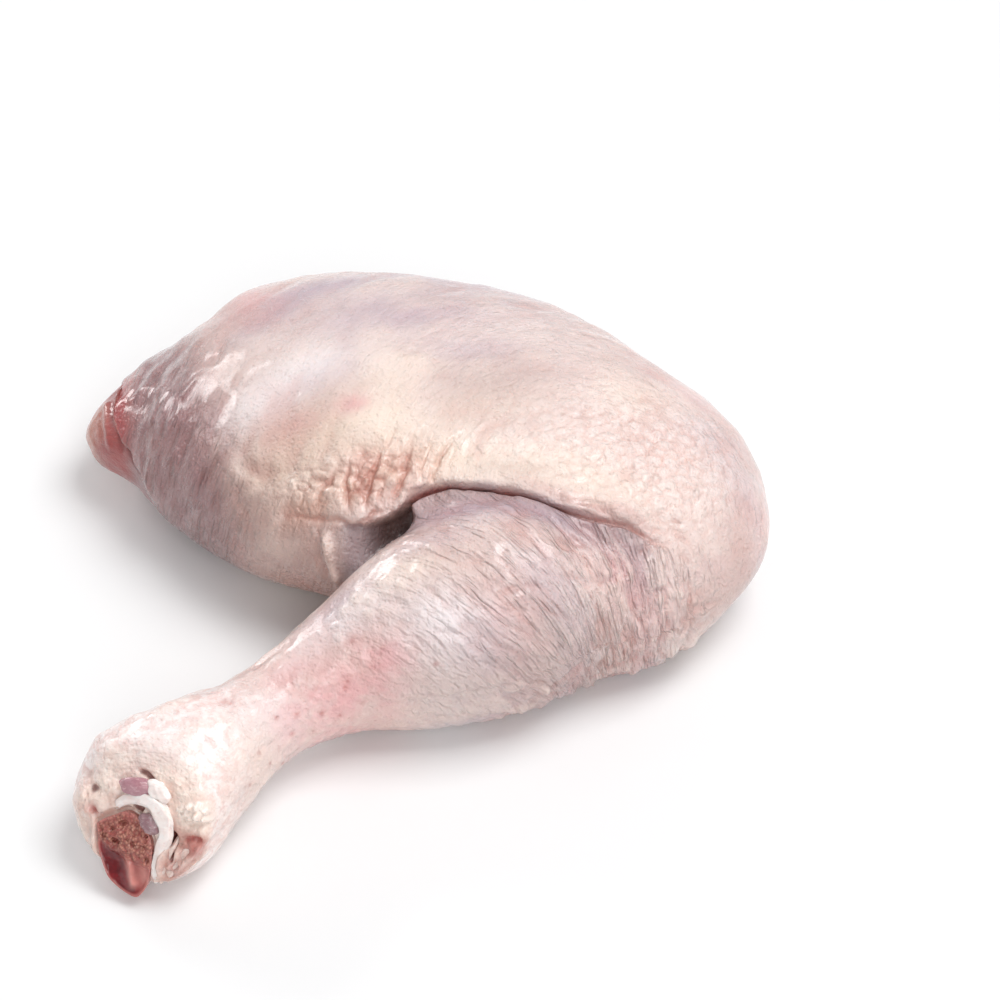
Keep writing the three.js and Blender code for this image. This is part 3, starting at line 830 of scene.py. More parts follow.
def face_relief(p):
    """The ankle's cut face: moat round the bone, sinews, fat beads and holes, out of the face."""
    u, v, h = on_face(p)
    near = smooth(h, -5.5, -0.8) * (p[:, 0] < -35)
    flat = flow(u, v)
    q = flat + np.stack([0.45 * noise(p, 3, 81), 0.45 * noise(p, 3, 82), 0 * u], -1)
    out = 0.35 * noise(p, 4.5, 83) + 0.18 * noise(p, 1.8, 84)
    for points, width, height in FACE_LINES:
        out += height * line_mark(q, points, width)
    for *spot, height in FACE_LUMPS:
        out += height * patch(q, *spot)
    beads = smooth(patches(flat, FAT_BEADS), 0.25, 0.6)
    out += beads * (1.6 * smooth(cobbles(q, 2.3, 85)[1], 0.0, 0.6) + 0.3)
    reach = bone_reach(np.arctan2(v - BONE_MIDDLE[1], u - BONE_MIDDLE[0]))
    off = np.hypot(u - BONE_MIDDLE[0], v - BONE_MIDDLE[1]) - reach
    out += -1.4 * bell(off, 0.3, 0.8) + 0.7 * bell(off, 2.2, 1.0)
    out = np.where(off < 0, out * smooth(-off, 2.5, 0) - 3.5 * smooth(-off, 0, 2.5), out)
    raw = smooth(h, -3.0, -0.5) * (p[:, 0] < -35)
    low_right = smooth(15.5 - v - 0.1 * u, -1.5, 2.5) * smooth(u, 8, 12)
    holes = smooth(strongest(q, *FACE_HOLES), 0.25, 0.6)
    strands = strongest(q, [], [(points, width, 1) for points, width, height in FACE_LINES if height > 0])
    return out * near, near, {
        "ankle_strand": strands * near, "ankle_raw": raw * low_right, "ankle_hole": holes * near,
        "ankle_red": strongest(q, *FACE_REDS) * near, "ankle_fat": beads * near, "ankle_face": near}


def strongest(q, spots, lines):
    """The largest of several ovals and lines at each place, each with its strength."""
    marks = [strength * patch(q, *spot) for *spot, strength in spots]
    marks += [strength * line_mark(q, points, width) for points, width, strength in lines]
    return np.maximum.reduce(marks)


def build_skin():
    thing = skin_surface()
    p, n = points_of(thing), normals_of(thing)
    depth1 = lobe_reading(THIGH, p, **THIGH_FORM)[2]
    run, turn, depth2 = lobe_reading(DRUMSTICK, p, **DRUMSTICK_FORM)
    lean = smooth(depth2 - depth1, -1.0, 1.0)
    at_knee = np.clip(1 - np.linalg.norm(p - KNEE["at"], axis=1) / 46, 0, 1)
    soft_side = smooth((p[:, 0] - 92) * -0.35 + (p[:, 1] + 16), -12, 12)
    thigh = lean * (1 - smooth(at_knee, 0.1, 0.5)) + soft_side * smooth(at_knee, 0.1, 0.5)
    beside, near_crease = off_crease(p)
    thigh = thigh * (1 - near_crease * (1 - smooth(beside, -2.0, 0.0)))
    out, masks = skin_relief(p, n, thigh, run, turn)
    masks["relief"] = out
    p, masks["pocket"] = hang_lip(p + n * out[:, None], thigh)
    # the two cuts: what lies past a plane is pressed back on to it, round at the edge where round is large
    u, v, _ = on_face(p)
    round_edge = 0.9 + 8.0 * smooth(v - 0.3 * u, 13, 27) + 2.5 * smooth(-u, 10, 20)
    for cut, side, wobble, round_ in ((HIP_CUT, 1, 1.1, 0.6), (ANKLE_CUT, -1, 0.4, round_edge)):
        past = cut_depth(p, cut) - wobble * noise(p, 7, 61) - 0.3 * noise(p, 2.5, 62)
        past = np.where(side * p[:, 1] > 0, past, -99)
        back = 0.5 * (past + np.hypot(past, round_)) * smooth(past, -14, -8)
        p = p - back[:, None] * unit(cut["outward"])
        if cut is HIP_CUT:
            masks["hip_cut"] = smooth(past, -0.6, 0.6)
    set_points(thing, p)
    out, near, face_masks = face_relief(p)
    masks.update(face_masks)
    p = p + out[:, None] * (near[:, None] * FACE_OUT + (1 - near[:, None]) * normals_of(thing))
    p = relax_near(p, links_of(thing), POCKET_END["at"], POCKET_END["radius"], POCKET_END["rounds"])
    p[:, 2] = np.maximum(p[:, 2], 0)
    set_points(thing, p)

    x, y, z = p.T
    n = normals_of(thing)
    masks.update({name: patches(p, rows) for name, rows in TONE_AREAS.items()})
    masks["folded"] = masks["folded"] * thigh
    # Darker brownish flesh towards the hip: the meat's own tone showing through, and painted shade on skin
    # that faces left and towards the front, away from the lamps.
    leftward = smooth(-n[:, 0] * 0.75 - n[:, 1] * 0.65, -0.1, 0.75)
    meaty = np.clip(leftward * smooth(-x, 38, 66) * thigh + smooth(-x, 66, 90) * thigh * 0.9
                    * (1 - smooth(y, 62, 92)), 0, 1)
    masks["meaty"] = np.maximum(meaty, 0.75 * leftward * smooth(-x, 10, 34) * thigh)
    masks["pale"] = (1 - thigh) * smooth(-x, 40, 62)
    film = smooth(hip_way(x, y), 62, 80) * thigh
    masks.update({key: value * film for key, value in hip_marks(p).items()})
    beside, near_crease = off_crease(p)
    masks["shaded"] = bell(np.maximum(-beside, 0), 0, 8.0) * near_crease * smooth(-beside, -0.5, 1.0)
    # The lip band is painted shade: darker and pinker just above the crease.
    masks["lip"] = bell(beside, 2.0, 2.0) * near_crease * smooth(x, 20, 44)
    masks["thigh_side"] = thigh
    masks["wet"] = np.clip(np.maximum(0.7 * masks["ankle_face"], smooth(-x, 72, 90) * thigh), 0, 1)
    dots = [0.9 * np.exp(-((p - np.array(spot)) ** 2).sum(1) / (0.65 * r) ** 2) for *spot, r in FOLLICLES]
    masks["dotted"] = np.clip(np.sum(dots, axis=0), 0, 1)
    masks["hip_flow"] = flow(x - 0.25 * (y + z), y + z)
    masks["thigh_flow"] = np.stack([knee_reach(x, y, z), x, y], -1)
    masks["drum_flow"] = flow(run - slant_of(x) * turn, turn)
    wear(thing, masks)
    return thing


# ---- Meat, bone, cartilage and tendons -----------------------------------------------------------


def hip_marks(p):
    """The red band across the bare end of the thigh, its pale tip, and the thin film behind them."""
    x, y, z = p.T
    wander = x + 2.0 * noise(p, 9, 94) + 0.8 * noise(p, 3.5, 95)
    band = bell(wander + 101 + 0.06 * (y - 50), 0, 5.5) * smooth(z, 8, 18)
    return {"band": np.clip(band * 1.2, 0, 1), "tip": smooth(-wander, 103, 110),
            "membrane": smooth(wander, -100, -93)}


def build_hip_meat():
    """The bare end of the thigh: the thigh's own lobe, a little smaller, over the first part of its path,
    with the grain of the meat raised along it and its inner end closed."""
    rows, cols = ((150, 220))
    tt, aa = ring_grid(0.34 * eased(rows) ** 0.8, cols)
    slim = np.array(THIGH) * [1, 1, 1, 0.985, 0.985, 0.985, 0.985, 1]
    p = lobe(slim, tt, aa, **THIGH_FORM, grow=-0.35)
    shut = smooth(tt, 0.30, 0.34)[..., None]
    middle = p.mean(1, keepdims=True)
    covered = smooth(-cut_depth(p, HIP_CUT), 3, 14)[..., None]
    p = middle + (p - middle) * (1 - 0.3 * covered)
    p = (p * (1 - shut) + middle * shut).reshape(-1, 3)
    thing = mesh_of("hip_meat", p, grid_faces(rows, cols))
    close_rings(thing)
    p, n = points_of(thing), normals_of(thing)
    x, y, z = p.T
    under_skin = 2.4 * smooth(-cut_depth(p, HIP_CUT), -1.5, 2.0)
    grain = noise(np.stack([x / 9, y / 2.2 + 0.25 * x, z / 2.2], -1), 1.0, 91)
    out = swell(p) - 0.45 + 0.3 * noise(p, 5, 93) + 0.2 * grain
    out += 0.9 * line_mark(p, [(-106, 66, 32), (-105, 58, 33), (-104, 50, 31), (-102, 45, 25)], 1.5)
    out -= 0.9 * line_mark(p, [(-101, 64, 36), (-100, 55, 36), (-99, 47, 34), (-98, 42, 27)], 1.3)
    p = p + n * ((out - under_skin) * smooth(z, 0.2, 5))[:, None]
    p[:, 2] = np.maximum(p[:, 2], 0.02)
    set_points(thing, p)
    wear(thing, hip_marks(p))
    return thing


# On the cut bone: the pale ridge of its hollow, and holes of the sponge (u, v, size, depth).
BONE_RIDGE = [(-0.5, 1), (1.5, -3.5), (4, -10)]
BONE_HOLES = [(-2.8, 9.4, 0.9, 1.5), (1.6, 7.6, 0.8, 1.3), (-6.2, 6.8, 1.0, 1.2), (3.8, 3.6, 0.8, 1.1),
              (-4.6, 3.2, 1.1, 0.9), (-0.6, 4.6, 0.8, 1.1), (-8.0, 7.6, 0.7, 0.9)]


def build_bone_end():
    """The cut bone: rings of its outline about its middle, raised to a low dome, its upper part spongy
    and its lower part hollowed and smooth, with the sides carried back into the ankle."""
    rings, spokes = ((90, 190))
    r, a = ring_grid(np.linspace(0, 1, rings), spokes)
    far = bone_reach(a) + 0.1
    on_top = np.clip(r / 0.8, 0, 1)
    side = np.clip((r - 0.8) / 0.2, 0, 1)
    reach = far * (on_top - 0.10 * side ** 2)
    u, v = BONE_MIDDLE[0] + reach * np.cos(a), BONE_MIDDLE[1] + reach * np.sin(a)
    flat = flow(u, v).reshape(-1, 3)
    q = flat + np.stack([0.5 * noise(flat, 2.4, 101), 0.5 * noise(flat, 2.4, 102), 0 * flat[:, 0]], -1)
    fu, fv = flat[:, 0], flat[:, 1]
    upper = smooth(fv + 0.25 * fu, -2.0, 1.5)
    near, _ = cobbles(q, 3.2, 105)
    h = 0.9 * (1 - on_top.ravel() ** 2.2) + 0.35 * noise(flat, 3.5, 104)
    h += upper * (0.45 * noise(q, 1.3, 106) + 0.3 * noise(q, 0.8, 107)
                  - 0.9 * smooth(0.34 - near, 0.0, 0.2) + 0.3)
    h -= (1 - upper) * (1.6 * patch(flat, -3.5, -3.5, 3.0, 3.4, 25)
                        + 0.9 * patch(flat, 4.6, -4.5, 1.4, 4.0, 12))
    h += (1 - upper) * 0.8 * line_mark(q, BONE_RIDGE, 0.9)
    for cu, cv, size, deep in BONE_HOLES:
        h -= deep * patch(q, cu, cv, size, size)
    inside = smooth(1 - on_top.ravel(), 0, 0.12)
    h = h * inside + 0.35 * (1 - inside)
    h = h + 0.6 - 6.5 * side.ravel() ** 1.3
    thing = mesh_of("bone_end", from_face(fu, fv, h), grid_faces(rings, spokes))
    ridge = line_mark(q, BONE_RIDGE, 1.3) * (1 - upper) + patch(flat, 5.6, -4, 2.0, 5.4, 10)
    wear(thing, {"spongy": upper, "rim": smooth(on_top.ravel(), 0.9, 0.99), "ridge": ridge})
    close_rings(thing)
    return thing


def build_lump(name, at_uvh, half, turn, rough, seed):
    """A soft lump on the ankle's face: a ball stretched to half sizes along u, v and h, turned in the
    face, its surface uneven by slow noise."""
    rows, cols = ((56, 80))
    t, a = ring_grid(np.pi * np.linspace(0, 1, rows), cols)
    d = np.stack([np.sin(t) * np.cos(a), np.sin(t) * np.sin(a), np.cos(t)], -1).reshape(-1, 3)
    size = 1 + rough * noise(d, 0.8, seed) + 0.4 * rough * noise(d, 0.35, seed + 1)
    q = d * size[:, None] * np.array(half)
    c, s = math.cos(math.radians(turn)), math.sin(math.radians(turn))
    u, v = q[:, 0] * c - q[:, 1] * s + at_uvh[0], q[:, 0] * s + q[:, 1] * c + at_uvh[1]
    thing = mesh_of(name, from_face(u, v, q[:, 2] + at_uvh[2]), grid_faces(rows, cols))
    close_rings(thing)
    return thing


def build_sinew(name, rows, around=28, flat=0.62):
    """A tendon: a ring carried along a smooth line on the ankle's face, (u, v, h, radius), flattened
    towards the face, with fine threads along it and both ends drawn to a point."""
    steps = 150
    t = np.linspace(0, 1, steps)
    row = through(rows, t)
    ahead = unit(np.gradient(row[:, :3], axis=0))
    side = unit(np.cross(ahead, (0, 0, 1)))
    up = np.cross(side, ahead)
    a = 2 * np.pi * np.arange(around) / around
    threads = 0.07 * np.sin(5 * a[None] + 3 * t[:, None] * 2) + 0.05 * np.sin(9 * a[None] + 11 * t[:, None])
    r = row[:, 3:4] * (1 + threads) * end_rounding(t, (0.04, 0.06))[:, None]
    ring = (row[:, None, :3] + side[:, None] * (r * np.cos(a))[..., None]
            + up[:, None] * (flat * r * np.sin(a))[..., None])
    q = ring.reshape(-1, 3)
    q = q + 0.3 * np.stack([noise(q, 2.6, 111), noise(q, 2.6, 112), noise(q, 2.6, 113)], -1)
    thing = mesh_of(name, from_face(q[:, 0], q[:, 1], q[:, 2]), grid_faces(steps, around))
    close_rings(thing)
    return thing


# ---- Materials -----------------------------------------------------------------------------------


def srgb(r, g, b):
    """A colour from its 0 to 255 screen values."""
    c = np.array([r, g, b]) / 255
    return tuple(float(v) for v in np.where(c <= 0.04045, c / 12.92, ((c + 0.055) / 1.055) ** 2.4))


class Field:
    """A shader value that can be added to, taken from and multiplied: each sign makes one math node."""

    def __init__(self, wires, socket):
        self.wires, self.socket = wires, socket

    def __add__(self, other):
        return self.wires.math("ADD", self, other)

    def __sub__(self, other):
        return self.wires.math("SUBTRACT", self, other)

    def __mul__(self, other):
        return self.wires.math("MULTIPLY", self, other)


class Wires:
    """Short hand for adding nodes to one tree and joining them. Colours are 0 to 255 screen values."""

    def __init__(self, tree):
        self.tree = tree
        tree.nodes.clear()

    def node(self, kind, links=None, **settings):
        made = self.tree.nodes.new(kind)
        for key, value in settings.items():
            setattr(made, key, value)
        for key, value in (links or {}).items():
            self.feed(made.inputs[key], value)
        return made

    def field(self, kind, links=None, out=0, **settings):
        return Field(self, self.node(kind, links, **settings).outputs[out])

    def feed(self, socket, value):
        if isinstance(value, Field):
            value = value.socket
        if isinstance(value, bpy.types.NodeSocket):
            self.tree.links.new(value, socket)
        elif isinstance(value, tuple) and socket.type == "RGBA":
            socket.default_value = (*srgb(*value), 1)
        else:
            socket.default_value = value

    def math(self, operation, a, b, clamp=False):
        return self.field("ShaderNodeMath", {0: a, 1: b}, operation=operation, use_clamp=clamp)

    def blend(self, share, under, over):
        return self.field("ShaderNodeMix", {"Factor": share, 6: under, 7: over}, 2, data_type="RGBA")

    def layers(self, colour, rows):
        """A colour with other colours laid over it in turn, each by its share."""
        for share, tone in rows:
            colour = self.blend(share, colour, tone)
        return colour

    def rise(self, value, low, high, out_low=0.0, out_high=1.0):
        """A smooth step of the value between low and high."""
        return self.field("ShaderNodeMapRange", {0: value, 1: low, 2: high, 3: out_low, 4: out_high},
                          interpolation_type="SMOOTHSTEP")

    def mark(self, name, out="Fac"):
        """A number that the mesh carries under that name, or a vector."""
        return self.field("ShaderNodeAttribute", out=out, attribute_name=name)

    def marks(self, names):
        return [self.mark(name) for name in names.split()]

    def spread(self, vector, scale):
        """The vector with each of its axes scaled."""
        return self.field("ShaderNodeVectorMath", {0: vector, 1: scale}, operation="MULTIPLY")

    def mottle(self, vector, scale, detail=2.0, rough=0.5, warp=0.0):
        return self.field("ShaderNodeTexNoise", {"Vector": vector, "Scale": scale, "Detail": detail,
                                                 "Roughness": rough, "Distortion": warp})

    def pebbles(self, vector, scale):
        """Distance to the nearest of scattered centres."""
        return self.field("ShaderNodeTexVoronoi", {"Vector": vector, "Scale": scale}, "Distance")

    def group(self, tree, **links):
        made = self.node("ShaderNodeGroup", links, node_tree=tree)
        return {socket.name: Field(self, socket) for socket in made.outputs}

    def bump(self, shader, height, strength, distance):
        made = self.node("ShaderNodeBump", {"Height": height, "Strength": strength, "Distance": distance})
        self.feed(shader.inputs["Normal"], made.outputs["Normal"])


def new_group(name, takes, gives):
    """An empty node group: inputs with their starting values (a vector has none) and outputs."""
    tree = bpy.data.node_groups.new(name, "ShaderNodeTree")
    for title, value in takes.items():
        kind = "NodeSocketVector" if value is None else "NodeSocketFloat"
        socket = tree.interface.new_socket(title, in_out="INPUT", socket_type=kind)
        if value is not None:
            socket.default_value = value
    for title in gives:
        tree.interface.new_socket(title, in_out="OUTPUT", socket_type="NodeSocketFloat")
    w = Wires(tree)
    into = {socket.name: Field(w, socket) for socket in w.node("NodeGroupInput").outputs}
    return tree, w, into, w.node("NodeGroupOutput").inputs


def wet_grain_group():
    """Fine relief of moist flesh: soft pores over small grain, and a gloss that breaks up with it."""
    tree, w, into, out = new_group("wet grain", {"Vector": None, "Pores": 900.0}, ("Height", "Gloss"))
    pores = w.pebbles(into["Vector"], into["Pores"])
    small = w.mottle(into["Vector"], into["Pores"] * 1.7, 1.0, 0.6)
    w.feed(out["Height"], pores * 0.37 + small * 0.44)
    w.feed(out["Gloss"], w.rise(w.mottle(into["Vector"], 170.0, 4.0, 0.65), 0.35, 0.7))
    return tree


def flow_group():
    """Fine wrinkles that run with the skin: the vector's x crosses them and its y follows them. Crests
    are thin with wide hollows between them, Folds are wide with thin hollows, Beads are small bumps."""
    tree, w, into, out = new_group("fine wrinkles", {"Flow": None, "Spacing": 2.0, "Length": 12.0},
                                   ("Crests", "Folds", "Beads"))
    along = w.math("DIVIDE", 1.0, into["Length"])
    scale = w.field("ShaderNodeCombineXYZ", {0: w.math("DIVIDE", 1.0, into["Spacing"]), 1: along, 2: along})
    q = w.spread(into["Flow"], scale)
    ridge = w.math("ABSOLUTE", w.mottle(q, 0.8, 2.0, 0.55, 0.35) - 0.5, 0.0)
    thin = w.mottle(w.spread(q, (1.9, 1.6, 1.0)), 1.0, 2.0, 0.5) * 0.4
    beads = w.pebbles(w.spread(q, (1.0, 2.6, 2.6)), 1.0)
    w.feed(out["Beads"], w.rise(beads, 0.07, 0.89, 1.0, 0.0))
    w.feed(out["Crests"], thin - ridge * 1.6)
    w.feed(out["Folds"], thin * 0.7 + w.rise(ridge, 0.0, 0.19) * 0.58)
    return tree


def new_material(name):
    paint = bpy.data.materials.new(name)
    paint.use_nodes = True
    w = Wires(paint.node_tree)
    shader = w.node("ShaderNodeBsdfPrincipled", subsurface_method="BURLEY")
    w.node("ShaderNodeOutputMaterial", {"Surface": shader.outputs["BSDF"]})
    return paint, w, shader, w.field("ShaderNodeTexCoord", out="Object")


def flesh_shader(shader, soak, reach, coat, coat_rough):
    """Light soaks into flesh: the same numbers all over the surface, set on the shader itself."""
    for title, value in {"Subsurface Weight": soak, "Subsurface Radius": (1.0, 0.38, 0.24),
                         "Subsurface Scale": reach * MM, "IOR": 1.4, "Coat Weight": coat,
                         "Coat Roughness": coat_rough}.items():
        shader.inputs[title].default_value = value


WET_GRAIN = wet_grain_group()
FINE_WRINKLES = flow_group()
FILM_TONES = (134, 90, 90), (156, 118, 120)


def skin_material():
    paint, w, shader, place = new_material("turkey skin")
    flesh_shader(shader, 0.2, 2.5, coat=0.4, coat_rough=0.16)
    fat, lilac, flush, meaty, pale = w.marks("fat lilac flush meaty pale")
    white, dusky, folded = w.marks("white dusky folded")
    bumpy, wrinkled, side, relief, wet = w.marks("bumpy wrinkled thigh_side relief wet")
    face, raw, band, tip, film = w.marks("ankle_face ankle_raw band tip membrane")
    broad = w.mottle(place, 38.0, 3.0, 0.55, 0.3)
    middle = w.mottle(place, 110.0, 3.0, 0.6, 0.4)
    fine = w.mottle(place, 420.0, 3.0, 0.6)
    rightwards = w.field("ShaderNodeSeparateXYZ", {0: place})

    flow = w.mark("thigh_flow", "Vector")
    thigh_set = w.group(FINE_WRINKLES, Flow=flow, Spacing=3.4, Length=12.0)
    threads = w.group(FINE_WRINKLES, Flow=flow, Spacing=1.3, Length=8.0)["Crests"]
    ripples = w.group(FINE_WRINKLES, Flow=w.mark("hip_flow", "Vector"), Spacing=2.0, Length=14.0)["Crests"]
    drum_set = w.group(FINE_WRINKLES, Flow=w.mark("drum_flow", "Vector"), Spacing=3.0, Length=12.0)
    rows, rings = thigh_set["Crests"], drum_set["Folds"]
    shift = w.field("ShaderNodeTexNoise", {"Vector": place, "Scale": 160.0, "Detail": 0.0}, "Color")
    shift = w.spread(shift, (0.0017, 0.0017, 0.0017))
    bent = w.field("ShaderNodeVectorMath", {0: place, 1: shift}, operation="ADD")
    grain = w.group(WET_GRAIN, Vector=place, Pores=1100.0)

    # the skin's own tones, then the sinewy shank, the folds, the follicles, and painted shade in the crease,
    # under the lip and in the pocket; painted highlights and shade of the relief are laid in among them
    sinews = w.mottle(w.spread(place, (260.0, 260.0, 420.0)), 1.0, 4.0, 0.65, 0.8)
    dots = w.rise(w.pebbles(place, 150.0), 0.04, 0.12, 1.0, 0.0) * flush
    dots = w.math("MAXIMUM", dots * 0.5, w.mark("dotted"))
    colour = w.layers(w.blend(w.rise(broad, 0.35, 0.68), (216, 189, 182), (233, 212, 205)), [
        (w.rise(middle, 0.5, 0.75) * 0.35, (206, 170, 168)),
        # painted highlight on the crests of the thigh's fine rows
        (w.rise(rows, -0.25, 0.25) * (side * 0.35), (240, 226, 222)),
        (lilac * w.rise(broad, 0.1, 0.6, 0.45, 0.9), (184, 163, 177)),
        (fat * w.rise(middle, 0.2, 0.6, 0.6, 0.95), (246, 225, 205)),
        (flush * w.rise(middle, 0.3, 0.65, 0.3, 0.95), (230, 172, 172)),
        (pale * 0.85, w.blend(w.rise(sinews, 0.35, 0.62), (236, 204, 198), (255, 243, 240))),
        # meat tone at the hip, and painted shade on the side facing left
        (meaty * w.rise(middle, 0.1, 0.8, 0.7, 0.95), (158, 116, 106)),
        # whiter patches, the first two of them a painted sheen
        (white * 0.7, (248, 240, 240)),
        # painted shade in the darker patches
        (dusky * 0.5, (176, 148, 140)),
        # painted shade in the hollows of the drumstick's wrinkles
        (w.rise(rings, 0.14, 0.42, 1.0, 0.0) * wrinkled * 0.12, (176, 126, 128)),
        # painted shade where the relief sinks
        (w.rise(relief, -1.1, -0.1, 1.0, 0.0) * 0.3, (196, 134, 124)),
        (folded * 0.7, (208, 166, 146)),
        # painted shade in the grooves of the folded fat
        (folded * w.rise(relief, -1.0, 0.5, 1.0, 0.0) * 0.65, (172, 108, 94)),
        # lighter where the relief rises: the creamy ridges' own tone, and a painted highlight on their tops
        (w.rise(relief, 0.1, 1.0) * 0.3, (246, 226, 214)),
        # whiter goose bumps on the knee: pale skin, and a painted highlight on their lit tops
        (bumpy * 0.5, (244, 226, 220)),
        (w.mark("cracks") * 0.32, (206, 158, 142)),
        (dots * 0.75, (172, 84, 74)),
        # painted shade down the crease
        (w.mark("crease") * 0.8, (138, 62, 60)),
        (w.mark("shaded") * 0.6, (150, 124, 130)),
        # painted shade along the lip
        (w.mark("lip") * 0.45, (190, 140, 134)),
        # painted shade in the pocket, near black at its right end
        (w.mark("pocket") * 0.85, w.blend(w.rise(rightwards, -0.02, -0.009), (150, 130, 134), (40, 12, 16))),
    ])
    # the ankle's cut face, then the film, tip and band of the hip
    clouds = w.rise(middle, 0.3, 0.7)
    torn = w.blend(clouds, (204, 160, 146), (178, 122, 110))
    torn = w.blend(w.rise(fine, 0.5, 0.7) * 0.5, torn, (228, 200, 186))
    colour = w.layers(colour, [
        (face * 0.7, w.blend(clouds, (248, 228, 212), (226, 190, 174))),
        (raw * 0.9, torn),
        (w.mark("ankle_strand") * 0.8 * raw, (240, 216, 206)),
        (w.mark("ankle_fat"), w.blend(fine, (255, 244, 236), (240, 218, 204))),
        (w.mark("ankle_red") * 0.8, (176, 72, 66)),
        # painted shade in the holes
        (w.mark("ankle_hole") * 0.85, (122, 60, 54)),
        (film * w.rise(broad, 0.2, 0.7, 0.95, 0.75), w.blend(w.rise(ripples, -0.2, 0.2), *FILM_TONES)),
        (tip * 0.9, w.blend(clouds, (186, 122, 102), (172, 104, 92))),
        (band * 0.9, (164, 78, 80)),
        (w.mark("hip_cut") * 0.6, (160, 112, 104)),
    ])
    w.feed(shader.inputs["Base Color"], colour)
    w.feed(shader.inputs["Roughness"], grain["Gloss"] * 0.17 + 0.31 - w.math("MAXIMUM", meaty, wet) * 0.14)
    gloss = w.rise(middle, 0.35, 0.65, 0.3, 0.8) - bumpy * 0.4
    w.feed(shader.inputs["Coat Weight"], w.math("ADD", gloss, wet * 0.5, clamp=True))

    # fine relief: lines of the thigh and of the hip's film, rings of the drumstick, goose bumps, grain
    lines = (rows * 1.2 + threads * 0.5) * w.rise(broad, 0.3, 0.62, 0.25, 1.0) + thigh_set["Beads"] * 0.4
    thigh_lines = lines * w.rise(rightwards, -0.03, 0.02, 0.35, 1.0) * (side * 0.75)
    thigh_lines = thigh_lines + ripples * (film * 1.2 + meaty * 0.7)
    drum_lines = (rings * 1.1 + drum_set["Beads"] * 0.25) * (wrinkled * 0.9 + 0.12)
    bumps = w.rise(w.pebbles(bent, 300.0), 0.0, 0.8, 1.0, 0.0) * (bumpy * 0.3 + 0.08)
    bumps = bumps + w.rise(w.pebbles(place, 700.0), 0.0, 0.6, 0.0, 0.15)
    w.bump(shader, thigh_lines + drum_lines + bumps + grain["Height"] * 0.22 + fine * 0.24, 1.0, 0.0014)
    return paint


def meat_material():
    paint, w, shader, place = new_material("raw dark meat")
    flesh_shader(shader, 0.15, 2.0, coat=0.7, coat_rough=0.1)
    band, tip, membrane = w.marks("band tip membrane")
    broad = w.mottle(place, 70.0, 3.0, 0.55, 0.5)
    fibres = w.mottle(w.spread(place, (90.0, 520.0, 620.0)), 1.0, 4.0, 0.6, 0.4)
    clouds = w.rise(broad, 0.3, 0.7)
    w.feed(shader.inputs["Base Color"], w.layers(w.blend(clouds, (178, 112, 104), (150, 92, 90)), [
        (w.rise(fibres, 0.4, 0.7, 0.0, 0.4), (196, 142, 128)),
        (tip * w.rise(broad, 0.2, 0.6, 0.5, 0.9), (186, 120, 100)),
        (band * w.rise(broad, 0.1, 0.7, 0.95, 0.6), (158, 68, 68)),
        (membrane * w.rise(fibres, 0.45, 0.75, 0.95, 0.6), w.blend(clouds, *FILM_TONES)),
    ]))
    w.feed(shader.inputs["Roughness"], w.rise(broad, 0.3, 0.7, 0.28, 0.42))
    grain = w.group(WET_GRAIN, Vector=place, Pores=800.0)
    w.bump(shader, fibres * 1.1 + grain["Height"] * 0.3, 0.85, 0.0008)
    return paint


def bone_material():
    paint, w, shader, place = new_material("cut bone")
    flesh_shader(shader, 0.05, 1.0, coat=0.4, coat_rough=0.1)
    spongy, rim, ridge = w.marks("spongy rim ridge")
    broad = w.mottle(place, 260.0, 3.0, 0.6, 0.4)
    cells = w.pebbles(place, 950.0)
    marrow = w.blend(w.rise(broad, 0.3, 0.7), (132, 26, 32), (96, 12, 20))
    marrow = w.blend(ridge * 0.8, marrow, (218, 146, 136))
    sponge = w.blend(w.rise(cells, 0.15, 0.8), (196, 134, 116), (150, 82, 74))
    sponge = w.blend(w.rise(broad, 0.42, 0.7, 0.0, 0.7), sponge, (168, 84, 78))
    w.feed(shader.inputs["Base Color"], w.blend(rim * 0.6, w.blend(spongy, marrow, sponge), (214, 142, 134)))
    w.feed(shader.inputs["Roughness"], spongy * 0.2 + 0.24)
    w.bump(shader, w.rise(cells, 0.1, 0.8, 1.0, 0.0) * (spongy * 0.9 + 0.1) + broad * 0.4, 0.9, 0.0006)
    return paint


def gristle_material(name, light, dark, streak, rough, coat, soak):
    """Smooth wet tissue: a light and a dark tone in soft clouds, with fine streaks."""
    paint, w, shader, place = new_material(name)
    flesh_shader(shader, soak, 2.0, coat=coat, coat_rough=0.07)
    broad = w.mottle(place, 220.0, 3.0, 0.55, 0.4)
    fine = w.mottle(w.spread(place, (1.0, 2.6, 1.6)), 520.0, 3.0, 0.6, 0.3)
    colour = w.blend(w.rise(broad, 0.3, 0.7), light, dark)
    w.feed(shader.inputs["Base Color"], w.blend(w.rise(fine, 0.5, 0.75, 0.0, 0.6), colour, streak))
    w.feed(shader.inputs["Roughness"], w.rise(fine, 0.3, 0.7, rough, rough + 0.12))
    w.bump(shader, fine + broad * 0.5, 0.5, 0.0005)
    return paint


# ---- Build ---------------------------------------------------------------------------------------


def stand_in(thing, node, paint):
    """The piece follows the body, takes over from a node of the part and gets its material."""
    thing.data.materials.append(paint)
    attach(thing, "root")
    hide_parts(node)


# Smooth tissues: light, dark and streak tones, roughness, coat and how much light soaks in.
GRISTLE = {name: gristle_material(name, *numbers) for name, numbers in {
    "tendon": ((255, 248, 244), (246, 230, 224), (232, 204, 198), 0.2, 0.8, 0.25),
    "thin tendon": ((238, 212, 202), (220, 186, 176), (204, 164, 154), 0.22, 0.7, 0.25),
    "joint cartilage": ((190, 142, 150), (168, 116, 126), (222, 186, 188), 0.14, 1.0, 0.12),
    "grey cartilage": ((176, 146, 150), (150, 112, 118), (206, 178, 176), 0.2, 0.8, 0.12),
}.items()}
